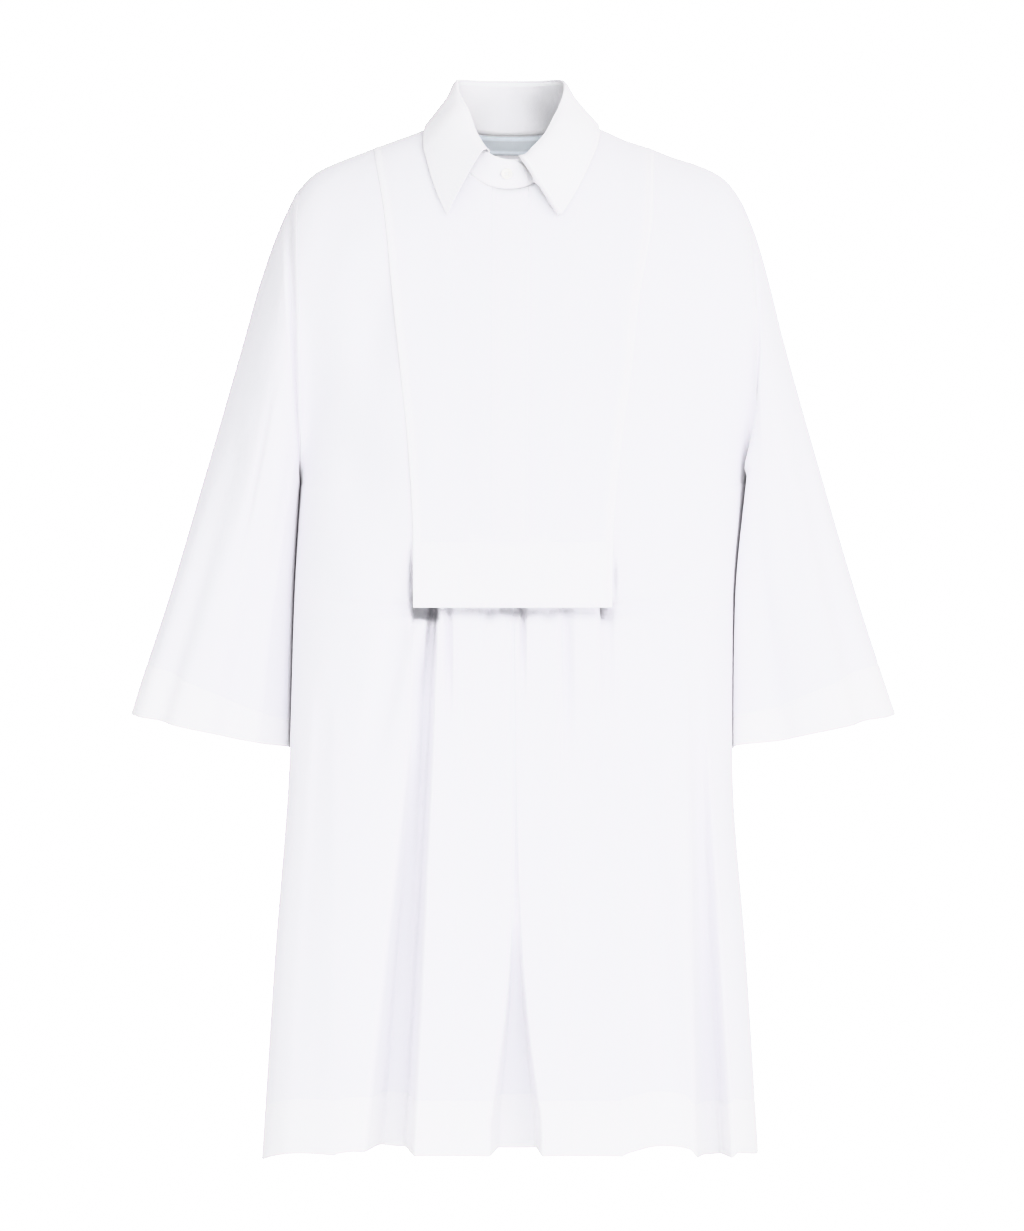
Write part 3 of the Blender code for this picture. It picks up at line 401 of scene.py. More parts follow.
# the button's section from the middle of its face, over the rim, to the middle of its back
Turned = namedtuple("Turned", "out high")
BUTTON_SECTION = (
    Turned(0.00, 0.0014), Turned(0.45, 0.0014), Turned(0.60, 0.0016), Turned(0.72, 0.0021),
    Turned(0.82, 0.0023), Turned(0.92, 0.0021), Turned(0.98, 0.0017), Turned(1.00, 0.0012),
    Turned(0.98, 0.0006), Turned(0.92, 0.0002), Turned(0.80, 0.0000), Turned(0.00, 0.0000),
)

# ---------------------------------------------------------------- finishes
# how double each part looks, 1 being a hem, and how much its creases show
DOUBLED = {"edge": 0.75, "flap": 0.8, "placket": 0.15, "stand": 0.8, "leaf": 1.0}
CRISP = {"bib": 0.6, "placket": 0.4, "stand": 0.5, "leaf": 0.5}
CREASES = ((14.0, 0.45), (55.0, 0.60))    # creases to a metre, and their stretch along the cloth
SMALL_CREASES = 0.25          # the small creases' share of the large ones' height
CREASE_RELIEF = 0.004
CREASE_PAINTED_SHADE = (0.965, 1.02)        # painted shade: range of the cotton's colour, darker in the creases' hollows, lighter on their ridges
COTTON_PITCH = 0.0006         # two threads of the cloth, and of the label
LABEL_PITCH = 0.0004
WEAVE_RELIEF = 0.0001
LABEL_RIM = 1.25              # how much paler the label's woven rim is
THREAD_COLOUR = (0.84, 0.84, 0.85)

# ---------------------------------------------------------------- light and camera
# aimed: the point it faces; cone: a spot's width in degrees, and 0 for a square soft box
Light = namedtuple("Light", "name place aimed size power colour cone")
LIGHTS = (
    Light("key_light", (2.1, -3.3, 0.1), (0.0, 0.0, -0.45), 2.6, 92.0, (1.0, 0.995, 0.985), 0),
    Light("front_light", (-0.2, -3.6, -0.1), (0.0, 0.0, -0.45), 2.0, 40.0, (0.97, 0.98, 1.0), 0),
    Light("fill_light", (-2.4, -2.7, -1.0), (-0.15, 0.0, -0.85), 1.0, 190.0, (1.0, 1.0, 1.0), 20),
    Light("rear_light", (0.9, 3.3, 0.2), (0.0, 0.0, -0.45), 2.4, 55.0, (1.0, 1.0, 1.0), 0),
    Light("neck_light", (0.0, -0.06, -0.12), (-0.003, 0.07, -0.013), 0.02, 0.5, (1.0, 1.0, 1.0),
          34),
)
AMBIENT = 1.14                # strength of the light from all round
BRIGHTER = (0.12, 0.0, -0.32)     # it grows this way: from the left, and least from above
BACKDROP = 40.0               # how bright surround and floor look to the camera
FLOOR_GLOW = 0.2              # how much light the floor gives back
FLOOR_HALF = 30.0
FLOOR_DROP = 1.5
EYE = (-0.0015, -3.07, -0.4905)       # the camera looks level along +Y
VIEW_HALF = 0.6155            # half the height it sees where the dress's middle stands

# ---------------------------------------------------------------- grid counts
SIDE_COLUMNS = 54
SIDE_BUNCH = 1.35             # how much closer the columns are beside the bib
CENTRE_COLUMNS = 164
CENTRE_BUNCH = 1.3            # how much closer the columns are at the centre pleat
ROLL_ROWS = 22
ARMHOLE_ROWS = 24
BIB_ROWS = 8
FLAP_ROWS = 16
SKIRT_ROWS = 66
SKIRT_BUNCH = 1.25            # how much closer the rows are under the flap
HEM_ROWS = 6
STITCH_ROWS = (-0.0018, -0.0006, 0.0006, 0.0018)  # rows beside a hem's stitching
STITCH_CLEAR = 0.004          # from a hem's stitching to the next plain row
STITCH_SPREAD = 0.0014        # half width of the groove that stitching pulls
SLEEVE_ROWS = 84
SLEEVE_BUNCH = 1.2            # how much closer the rows are at the armhole
SLEEVE_NEAR = 0.008           # from stitching to the next plain row, as a share of the sleeve
NECK_POINTS = 400
STAND_COLUMNS = 150
STAND_ROWS = 12
LEAF_COLUMNS = 170
LEAF_ROWS = 24                # plain rows between fold and edge
FOLD_ROWS = 9                 # rows of the collar's fold
LEAF_STITCHED = 35            # row of the leaf's edge stitching
LEAF_TURNED = len(TURN_UNDER)     # columns of the leaf's turned-under front edge
BIB_EDGE_COLUMN = 5           # column of the bib's edge stitching
BIB_LOW = 6                   # rows from the bib's lower edge to its stitching
BIB_COLUMNS = 72
PLACKET_COLUMN = 3            # column of the placket's stitching
STITCH_SHARE = 0.78           # how much of each stitch lies on top
THREAD_SIDES = 5
THREAD_RINGS = 4


# ---------------------------------------------------------------- curves
def smooth(at, knots, values):
    """A cubic curve through the knots, with slopes limited so that it never overshoots."""
    knots = np.asarray(knots, float)
    values = np.asarray(values, float)
    slopes = np.diff(values) / np.diff(knots)
    tangents = np.zeros_like(values)
    tangents[0] = slopes[0]
    tangents[-1] = slopes[-1]
    product = slopes[:-1] * slopes[1:]
    total = slopes[:-1] + slopes[1:]
    rising = product > 0
    tangents[1:-1][rising] = 2 * product[rising] / total[rising]
    at = np.clip(np.asarray(at, float), knots[0], knots[-1])
    cell = np.clip(np.searchsorted(knots, at, side="right") - 1, 0, len(knots) - 2)
    width = knots[cell + 1] - knots[cell]
    t = (at - knots[cell]) / width
    start = (1 + 2 * t) * (1 - t) ** 2 * values[cell] + t * (1 - t) ** 2 * width * tangents[cell]
    end = t * t * (3 - 2 * t) * values[cell + 1] - t * t * (1 - t) * width * tangents[cell + 1]
    return start + end


def column(table, name, at, by):
    """The table's column, read at a value of its leading column."""
    return smooth(at, [getattr(row, by) for row in table], [getattr(row, name) for row in table])


def half_width(side, drop):
    """The body's half width on the wearer's right (side below 0) or left."""
    return column(BODY, "right" if side < 0 else "left", drop, "drop")


def shoulder_drop(x):
    """Drop of the dress's top edge, seen from the front, at x."""
    return np.where(x < 0, column(SHOULDER, "drop", -np.asarray(x), "right"),
                    column(SHOULDER, "drop", x, "left"))


def shoulder_out(side, drop):
    """Distance of the top edge from the middle at a drop."""
    return column(SHOULDER, "right" if side < 0 else "left", drop, "drop")


def bump(away):
    """1 at 0, and 0 at 1 and beyond, with a raised cosine between."""
    return 0.5 + 0.5 * np.cos(np.pi * np.clip(np.abs(away), 0, 1))


# ---------------------------------------------------------------- the worn body
def armhole_full(drop):
    """Half depth of the armhole below the shoulder's roll: full, then closing at the underarm."""
    low = np.clip((drop - (UNDERARM_DROP - ARMHOLE_LOW)) / ARMHOLE_LOW, 0, 1)
    return ARMHOLE_DEPTH * np.sqrt(1 - low ** 2)


def roll(x, drop):
    """0 on the shoulder's ridge, 1 where the chest hangs straight: a quarter of a circle."""
    fall = np.clip((drop - shoulder_drop(x)) / SHOULDER_ROLL, 0, 1)
    return (1 - (1 - fall) ** ROLL_FULLNESS) ** (1 / ROLL_FULLNESS)


def body_depth(x, drop, face):
    """Depth of the worn body at x and drop, before folds: a squared ellipse across.

    Its edge is the armhole's depth, and the shoulder's roll closes it at the top. Away from
    the side the armhole closes more slowly, so that no crease runs across the body.
    """
    width = np.where(x < 0, half_width(-1, drop), half_width(1, drop))
    across = np.clip(np.abs(x) / width, 0, 1)
    middle = column(BODY, face, drop, "drop")
    soft = ARMHOLE_DEPTH * bump(np.clip((drop - CHEST_SOFT) / (WAIST_SOFT - CHEST_SOFT), 0, 1))
    edge = soft + (armhole_full(drop) - soft) * across ** SIDE_HOLD
    full = column(BODY, "full", drop, "drop")
    power = 1 - (1 - edge / ARMHOLE_DEPTH) * (1 - 1 / full)
    crown = (1 - across ** full) ** power
    return roll(x, drop) * (edge + (middle - edge) * crown)


def body_out(side, depth, drop, face):
    """The body's half width at a depth: body_depth's squared ellipse, solved for x."""
    edge = armhole_full(drop)
    full = column(BODY, "full", drop, "drop")
    power = 1 - (1 - edge / ARMHOLE_DEPTH) * (1 - 1 / full)
    middle = column(BODY, face, drop, "drop")
    crown = np.clip((depth - edge) / (middle - edge), 0, CROWN_LIMIT)
    return half_width(side, drop) * (1 - crown ** (1 / power)) ** (1 / full)


def fold_depth(x, drop, folds):
    """Depth of all the troughs at x and drop: a flat floor with a raised cosine each side."""
    total = np.zeros_like(x)
    for fold in folds:
        along = (drop - fold.top) / (fold.end - fold.top)
        reach = np.clip(along, 0, 1)
        depth = fold.depth_top + (fold.depth_end - fold.depth_top) * reach
        share = np.clip((drop - fold.top) / fold.fade + 1, 0, 1)
        if fold.depth_end == 0:
            depth = fold.depth_top
            share = share * (1 - bump(np.clip((fold.end - drop) / fold.fade, 0, 1)))
        grow = fold.start + (1 - fold.start) * reach ** fold.swell
        away = x - (fold.top_x + (fold.end_x - fold.top_x) * along)
        soft = np.where(away < 0, fold.right, fold.left) * grow
        total += depth * share * bump(np.clip((np.abs(away) - fold.flat * grow) / soft, 0, 1))
    return total


def hollow_depth(x, drop, hollows):
    """Depth of the soft dents at x and drop: a bell of their own width and height each."""
    total = np.zeros_like(x)
    for dent in hollows:
        off = x - dent.x - dent.lean * (drop - dent.drop)
        down = (drop - dent.drop) / dent.high
        total += dent.depth * np.exp(-(off / dent.wide) ** 2 - down ** 2)
    return total


def pressed(depth, dent):
    """A depth with a dent in it, which dies away where there is little depth to press in."""
    return depth * np.exp(-dent / np.maximum(depth, 1e-6))


def normals(points):
    """Unit normals of a grid whose rows run down and columns to the right, facing out."""
    cross = np.cross(np.gradient(points, axis=0), np.gradient(points, axis=1))
    return cross / np.maximum(np.linalg.norm(cross, axis=2, keepdims=True), 1e-12)


def neck_drop(x, face):
    """The neckline's drop at x: a deep curve in front, a shallow one behind."""
    across = np.clip(np.abs(x - NECK_CENTRE) / NECK_HALF, 0, 1)
    lowest = NECK_FRONT_DROP if face == "front" else NECK_BACK_DROP
    return NECK_SIDE_DROP + (lowest - NECK_SIDE_DROP) * (1 - across ** NECK_ROUND) ** NECK_CORNER


def top_edge(x, face):
    """Drop of the panel's top edge: the shoulder seam, or the neckline between its ends."""
    at_neck = np.abs(x - NECK_CENTRE) < NECK_HALF
    return np.where(at_neck, neck_drop(x, face), shoulder_drop(x))


def hem_edge(x, face):
    """Drop of the hem: it hangs lower at the sides than in the middle."""
    middle, dips = (HEM_FRONT_DROP, HEM_DIPS) if face == "front" else (HEM_BACK_DROP, ())
    across = np.abs(x) / np.abs(x).max()
    hem = middle + (HEM_SIDE_DROP - middle) * across ** HEM_SWEEP
    for dip in dips:
        hem += dip.drop * bump((x - dip.x) / dip.wide) ** DIP_SHARP
    return hem


def rows_below(top, hem, sizes):
    """Drops of the rows, from the top edge to the hem.

    They bunch on the shoulder's roll and at the underarm, and close in on the hem's stitching.
    """
    top, hem = np.atleast_1d(top)[None], np.atleast_1d(hem)[None]
    rolled = 1 - np.cos(np.linspace(0, math.pi / 2, ROLL_ROWS + 1))[:, None]
    turn = np.sin(np.linspace(0, math.pi / 2, ARMHOLE_ROWS + 1))[1:, None]
    stitched = hem - sizes.hem_depth
    level = np.zeros_like(top)
    return np.concatenate([
        top + (CHEST_DROP - top) * rolled,
        CHEST_DROP + (UNDERARM_DROP - CHEST_DROP) * turn + level,
        np.linspace(UNDERARM_DROP, BIB_SEAM_DROP, BIB_ROWS + 1)[1:, None] + level,
        np.linspace(BIB_SEAM_DROP, FLAP_DROP, FLAP_ROWS + 1)[1:, None] + level,
        FLAP_DROP + (stitched - STITCH_CLEAR - FLAP_DROP)
        * np.linspace(0, 1, SKIRT_ROWS + 1)[1:, None] ** SKIRT_BUNCH,
        stitched + np.array(STITCH_ROWS)[:, None],
        stitched + STITCH_CLEAR
        + (hem - stitched - STITCH_CLEAR) * np.linspace(0, 1, HEM_ROWS + 1)[:, None],
    ])


def hem_rows():
    """Rows of a panel from the hem's stitching down."""
    return HEM_ROWS + len(STITCH_ROWS)


def front_columns(side, sizes):
    """Distance from the middle of each column on one side, at each row, side seam first."""
    side_drop = rows_below(float(shoulder_drop(side * TIP_OUT[side])), HEM_SIDE_DROP, sizes)
    edge_drop = rows_below(BIB_EDGE[0].drop, HEM_FRONT_DROP, sizes)
    width = half_width(side, side_drop)
    edge = column(BIB_EDGE, "right" if side < 0 else "left", edge_drop, "drop")
    round_side = np.sin(math.pi / 2 * np.linspace(1, 0, SIDE_COLUMNS + 1) ** SIDE_BUNCH)
    centre = np.linspace(1, 0, CENTRE_COLUMNS // 2 + 1) ** CENTRE_BUNCH
    return np.hstack([edge + (width - edge) * round_side, (edge - BIB_OVERLAP) * centre])


def panel_points(face, sizes):
    """Points and drops of a panel on the worn body, without folds."""
    x = np.hstack([-front_columns(-1, sizes), front_columns(1, sizes)[:, ::-1][:, 1:]])
    drop = rows_below(top_edge(x[0], face), hem_edge(x[-1], face), sizes)
    turned = -1 if face == "front" else 1
    return np.stack([x, turned * body_depth(x, drop, face), -drop], axis=2), drop


# ---------------------------------------------------------------- cloth
def turned_hem(points, rows, gap):
    """The grid with its last rows turned up inside: each point moved in by gap, in reverse."""
    out = normals(points)
    fold = points[-1:] - out[-1:] * gap / 2
    fold[:, :, 2] -= gap / 2
    inner = (points - out * gap)[-rows:][::-1]
    return np.concatenate([points, fold, inner])


def cloth_spread(points, closed=False):
    """Each point's place on the flat cloth: the lengths along its row and down its column."""
    wide = np.concatenate([points, points[:, :1]], axis=1) if closed else points
    steps = np.linalg.norm(np.diff(wide, axis=1), axis=2)
    across = np.concatenate([np.zeros((len(wide), 1)), np.cumsum(steps, axis=1)], axis=1)
    across -= across[:, -1:] / 2
    falls = np.linalg.norm(np.diff(wide, axis=0), axis=2)
    down = np.concatenate([np.zeros((1, wide.shape[1])), np.cumsum(falls, axis=0)])
    return np.stack([across, -down], axis=2)


def cloth_piece(name, points, surface, wall, doubled=None, keep=None, closed=False):
    """A sheet of quads over a grid, with a wall that grows in from it.

    keep says which cells are cloth; doubled is 1 where the cloth lies double.
    """
    rows, columns = points.shape[:2]
    i, j = np.meshgrid(np.arange(rows - 1), np.arange(columns - (not closed)), indexing="ij")
    if keep is not None:
        i, j = i[keep], j[keep]
    i, j = i.ravel(), j.ravel()
    down, along = np.stack([i, i + 1, i + 1, i], 1), np.stack([j, j, j + 1, j + 1], 1)
    used, faces = np.unique(down * columns + along % columns, return_inverse=True)
    mesh = bpy.data.meshes.new(name)
    mesh.from_pydata(points.reshape(-1, 3)[used].tolist(), [], faces.reshape(-1, 4).tolist())
    spread = mesh.uv_layers.new(name="cloth")
    spread.data.foreach_set("uv", cloth_spread(points, closed)[down, along].ravel())
    layer = mesh.attributes.new("doubled", "FLOAT", "POINT")
    if doubled is not None:
        layer.data.foreach_set("value", doubled.ravel()[used].astype(np.float32))
    mesh.shade_smooth()
    piece = dress_piece(name, mesh, surface)
    shell = piece.modifiers.new("wall", "SOLIDIFY")
    shell.thickness = wall
    shell.offset = -1
    return piece


def dress_piece(name, mesh, surface):
    """An object for the mesh, riding on the dress."""
    piece = bpy.data.objects.new(name, mesh)
    bpy.context.scene.collection.objects.link(piece)
    mesh.materials.append(surface)
    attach(piece, "root")
    return piece


# ---------------------------------------------------------------- materials
def fill(tree, made, inputs):
    """Give each named input a plain value, or join it to the socket given for it."""
    for name, value in inputs.items():
        if isinstance(value, bpy.types.NodeSocket):
            tree.links.new(value, made.inputs[name])
        else:
            made.inputs[name].default_value = value


def add_node(tree, kind, inputs=None, **settings):
    """A shader node with its settings and its inputs."""
    made = tree.nodes.new("ShaderNode" + kind)
    for name, value in settings.items():
        setattr(made, name, value)
    fill(tree, made, inputs or {})
    return made


def new_surface(name, finish):
    """A material, its node tree and its shader, with the shader's plain values."""
    surface = bpy.data.materials.new(name)
    surface.use_nodes = True
    shader = surface.node_tree.nodes["Principled BSDF"]
    fill(surface.node_tree, shader, finish)
    return surface, surface.node_tree, shader


def new_group(name, *inputs):
    """A node group that works out a height from a place: the group and its two ends."""
    group = bpy.data.node_groups.new(name, "ShaderNodeTree")
    group.interface.new_socket("Place", in_out="INPUT", socket_type="NodeSocketVector")
    for extra in inputs:
        group.interface.new_socket(extra, in_out="INPUT", socket_type="NodeSocketFloat")
    group.interface.new_socket("Height", in_out="OUTPUT", socket_type="NodeSocketFloat")
    return group, group.nodes.new("NodeGroupInput"), group.nodes.new("NodeGroupOutput")


def weave_group():
    """Plain weave: warp and weft rise and dip in turn, as two sine waves multiplied."""
    group = bpy.data.node_groups.get("plain_weave")
    if group:
        return group
    group, start, end = new_group("plain_weave", "Threads")
    scaled = add_node(group, "VectorMath", {0: start.outputs["Place"],
                                            "Scale": start.outputs["Threads"]}, operation="SCALE")
    apart = add_node(group, "SeparateXYZ", {0: scaled.outputs[0]})
    warp, weft = (add_node(group, "Math", {0: apart.outputs[axis]}, operation="SINE").outputs[0]
                  for axis in ("X", "Y"))
    crossed = add_node(group, "Math", {0: warp, 1: weft}, operation="MULTIPLY")
    raised = add_node(group, "Math", {0: crossed.outputs[0], 1: 0.5, 2: 0.5},
                      operation="MULTIPLY_ADD")
    fill(group, end, {"Height": raised.outputs[0]})
    return group


def crumple_group():
    """Soft creases left by wear and folding: stretched noise in two sizes."""
    group = bpy.data.node_groups.get("soft_creases")
    if group:
        return group
    group, start, end = new_group("soft_creases")
    large, small = (
        add_node(group, "TexNoise", {
            "Vector": add_node(group, "Mapping", {"Vector": start.outputs["Place"],
                                                  "Scale": (1.0, stretch, 1.0)}).outputs[0],
            "Scale": size, "Detail": 2.0}).outputs["Fac"]
        for size, stretch in CREASES)
    mixed = add_node(group, "Math", {0: small, 1: SMALL_CREASES, 2: large},
                     operation="MULTIPLY_ADD")
    fill(group, end, {"Height": mixed.outputs[0]})
    return group


def woven(tree, place, pitch, strength, under=None):
    """The weave's relief as a normal, laid over the normal under it where there is one."""
    weave = add_node(tree, "Group", {"Place": place, "Threads": 2 * math.pi / pitch},
                     node_tree=weave_group())
    relief = {"Strength": strength, "Distance": WEAVE_RELIEF, "Height": weave.outputs["Height"]}
    if under:
        relief["Normal"] = under
    return add_node(tree, "Bump", relief).outputs["Normal"]


def cloth_place(tree):
    """Each point's place on the flat cloth, and where the cloth lies double."""
    return (add_node(tree, "UVMap", uv_map="cloth").outputs[0],
            add_node(tree, "Attribute", attribute_name="doubled").outputs["Fac"])


def blend(tree, one, other, share, way="MIX"):
    """Two colours mixed or multiplied by a share."""
    return add_node(tree, "Mix", {"A": one, "B": other, "Factor": share},
                    data_type="RGBA", blend_type=way).outputs["Result"]


def cotton(name, colours, crisp=1.0):
    """Poplin: white, a little cooler where it lies single, with weave and soft creases, and painted
    shade that darkens the creases' hollows.
    """
    surface, tree, shader = new_surface(name, {
        "Roughness": 0.85, "Specular IOR Level": 0.25,
        "Sheen Weight": 0.05, "Sheen Roughness": 0.6})
    place, doubled = cloth_place(tree)
    creases = add_node(tree, "Group", {"Place": place}, node_tree=crumple_group()).outputs["Height"]
    tone = blend(tree, (*colours.cotton, 1), (*colours.cotton_doubled, 1), doubled)
    # painted shade: the base colour follows the crease relief, darker where it dips
    shade = add_node(tree, "MapRange", {"Value": creases, "To Min": CREASE_PAINTED_SHADE[0], "To Max": CREASE_PAINTED_SHADE[1]})
    soft = add_node(tree, "Bump", {"Strength": 0.5 * crisp, "Distance": CREASE_RELIEF,
                                   "Height": creases})
    fill(tree, shader, {
        "Base Color": blend(tree, tone, shade.outputs["Result"], 1.0, "MULTIPLY"),
        "Normal": woven(tree, place, COTTON_PITCH, 0.25, soft.outputs["Normal"])})
    return surface


def plain_surface(name, colour, roughness):
    """One even finish."""
    return new_surface(name, {"Base Color": (*colour, 1), "Roughness": roughness})


def seen_strength(tree, strength, for_light, for_camera):
    """One strength for the light it casts, another for how bright it looks."""
    path = add_node(tree, "LightPath")
    pick = add_node(tree, "MapRange", {"Value": path.outputs["Is Camera Ray"],
                                       "To Min": for_light, "To Max": for_camera})
    tree.links.new(pick.outputs["Result"], strength)


# ---------------------------------------------------------------- panels
def groove(distance, sizes):
    """How far a line of stitching pulls the cloth in: a narrow bell."""
    return sizes.stitch_pull * np.exp(-(distance / STITCH_SPREAD) ** 2)


def folded_panel(face, sizes):
    """The front or back panel with its folds and dents pressed in, and the hem's groove.

    Its columns run so that the grid faces out.
    """
    points, drop = panel_points(face, sizes)
    folds, hollows, away = PANEL_FORMS[face]
    x = points[:, :, 0]
    dent = fold_depth(x, drop, folds) + hollow_depth(x, drop, hollows)
    points[:, :, 1] = away * (pressed(away * points[:, :, 1], dent) + SEAM_HALF)
    if face == "back":
        points, drop = points[:, ::-1], drop[:, ::-1]
    points -= normals(points) * groove(drop - (drop[-1:] - sizes.hem_depth), sizes)[:, :, None]
    return points


def hemmed(points, sizes):
    """The grid with its hem turned up inside, and where its cloth lies double."""
    rows = hem_rows()
    doubled = np.zeros(points.shape[:2])
    doubled[-rows:] = 1
    full = turned_hem(points, rows, sizes.turn_gap)
    return full, np.concatenate([doubled, np.ones((rows + 1, points.shape[1]))])


def make_front(sizes, colours):
    """The front panel: a U, with no cloth behind the bib but a strip along its edges."""
    points = folded_panel("front", sizes)
    full, doubled = hemmed(points, sizes)
    first, last = SIDE_COLUMNS, points.shape[1] - 1 - SIDE_COLUMNS
    seam_row = ROLL_ROWS + ARMHOLE_ROWS + BIB_ROWS
    keep = np.ones((full.shape[0] - 1, full.shape[1] - 1), bool)
    keep[:seam_row, first + 1:last - 1] = False
    piece = cloth_piece("front_panel", full, cotton("cotton_front", colours), sizes.cloth,
                        doubled, keep)
    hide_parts("front")


def make_back(sizes, colours):
    """The plain back panel."""
    full, doubled = hemmed(folded_panel("back", sizes), sizes)
    piece = cloth_piece("back_panel", full, cotton("cotton_back", colours), sizes.cloth, doubled)
    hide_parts("back")


def bib_side(x, drop):
    """Distance from the bib's nearer side edge."""
    return np.minimum(x + column(BIB_EDGE, "right", drop, "drop"),
                      column(BIB_EDGE, "left", drop, "drop") - x)


def bib_face(x, drop, sizes):
    """The bib's outer face over a grid: laid on the worn body, with folded, stitched edges.

    The edges' folds lift it a little and round off at the rim, the stitching pulls it in,
    and below the skirt's seam it stands off more and more as a free flap.
    """
    points = np.stack([x, -body_depth(x, drop, "front"), -drop], axis=2)
    out = normals(points)
    side = bib_side(x, drop)
    low = FLAP_DROP - drop
    free = np.clip((drop - BIB_SEAM_DROP) / (FLAP_DROP - BIB_SEAM_DROP), 0, 1)
    folded = sizes.fold_lift * (1 - np.clip((side - sizes.edge_stitch) / FOLD_STEP, 0, 1))
    rounded = RIM_ROUND * (1 - np.clip(side / RIM_SIDE, 0, 1)) ** 2
    rounded += RIM_ROUND * (1 - np.clip(low / RIM_LOW, 0, 1)) ** 2
    pulled = groove(side - sizes.edge_stitch, sizes)
    pulled += SEAM_PULL * groove(drop - BIB_SEAM_DROP, sizes)
    lift = sizes.laid + folded - rounded - pulled - hollow_depth(x, drop, BIB_HOLLOWS)
    points += out * lift[:, :, None]
    corner = np.clip(1 - side / CORNER_WIDE, 0, 1) ** 2
    wave = FLAP_OUT + FLAP_WAVE * np.sin(x * FLAP_TURN + 1.0) + FLAP_CORNER * corner
    points[:, :, 1] -= SEAM_HALF + free * wave
    return points


def bib_grid(sizes):
    """x and drop of the bib's points, closing in on its folded edges and their stitching."""
    stitched = sizes.edge_stitch + STITCH_SPREAD * np.array([-1, 0, 1])
    near = np.array([*BIB_NEAR, *stitched, 0.012])
    drops = np.concatenate([
        np.linspace(0, 1, 44) ** 1.25 * (BIB_SEAM_DROP - 0.004),
        BIB_SEAM_DROP + np.array([-0.0024, -0.0008, 0.0008, 0.0024]),
        np.linspace(BIB_SEAM_DROP + 0.005, FLAP_DROP - 0.011, 8),
        FLAP_DROP - np.array([*stitched[::-1], 0.003, RIM_LOW, 0.0006, 0.0]),
    ])
    at = np.maximum(drops, BIB_EDGE[0].drop)
    edge_right = column(BIB_EDGE, "right", at, "drop")
    edge_left = column(BIB_EDGE, "left", at, "drop")
    right, left = near - edge_right[:, None], edge_left[:, None] - near[::-1]
    middle = right[:, -1:] + (left[:, :1] - right[:, -1:]) * np.linspace(0, 1, BIB_COLUMNS)[1:-1]
    x = np.hstack([right, middle, left])
    top = top_edge(x[0], "front")[None]
    drop = top + (FLAP_DROP - top) * (drops / FLAP_DROP)[:, None]
    x = np.where(x < 0, x * column(BIB_EDGE, "right", drop, "drop") / edge_right[:, None],
                 x * column(BIB_EDGE, "left", drop, "drop") / edge_left[:, None])
    return x, drop


def make_bib(sizes, colours):
    """The bib, with its top lapped over the shoulder seam.

    It only just turns in where the collar band stands.
    """
    x, drop = bib_grid(sizes)
    points = bib_face(x, drop, sizes)
    plain = np.clip((bib_side(x, drop) - sizes.edge_stitch) / FOLD_STEP, 0, 1)
    doubled = np.maximum(DOUBLED["edge"] - DOUBLED["edge"] * plain,
                         np.clip((drop - BIB_SEAM_DROP) / FOLD_STEP, 0, DOUBLED["flap"]))
    lap = points[:1].copy()
    lap[:, :, 1] += np.where(np.abs(x[:1] - NECK_CENTRE) > NECK_HALF, SEAM_LAP, NECK_LAP)
    lap[:, :, 2] -= sizes.laid
    piece = cloth_piece("bib_panel", np.concatenate([lap, points]),
                        cotton("cotton_bib", colours, CRISP["bib"]), sizes.cloth,
                        np.concatenate([doubled[:1], doubled]))
    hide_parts("bib")


def placket_face(sizes):
    """The strip over the buttons, laid on the bib.

    It rises by a power of the distance from its stitched side to its folded one.
    """
    width = PLACKET_RIGHT + PLACKET_LEFT
    across = np.concatenate([[0, 0.0008, 0.0016, PLACKET_STITCH, 0.0034, 0.0050],
                             np.linspace(0.008, width - 0.004, 14),
                             width - np.array([0.0024, 0.0012, 0.0005, 0.0])])
    share = np.concatenate([np.linspace(0, 0.985, 60), [0.991, 0.996, 1.0]])[:, None]
    x = across - PLACKET_RIGHT + 0 * share
    top = top_edge(x[:1], "front") + PLACKET_SHORT
    drop = top + (BIB_SEAM_DROP - PLACKET_SHORT - top) * share
    points = bib_face(x, drop, sizes)
    lift = PLACKET_LIFT + PLACKET_RISE * np.clip(across / width, 0, 1) ** 0.7
    lift -= PLACKET_RIM * (1 - np.clip((width - across) / PLACKET_RIM_WIDE, 0, 1)) ** 2
    lift -= 0.5 * groove(across - PLACKET_STITCH, sizes)
    lift = PLACKET_LIFT + (lift - PLACKET_LIFT) * np.clip((1 - share) / PLACKET_END, 0, 1)
    return points + normals(points) * lift[:, :, None]


def make_placket(sizes, colours):
    """The placket's cover."""
    strip = placket_face(sizes)
    piece = cloth_piece("placket_strip", strip,
                        cotton("cotton_placket", colours, CRISP["placket"]),
                        sizes.cloth, np.full(strip.shape[:2], DOUBLED["placket"]))
    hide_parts("placket")


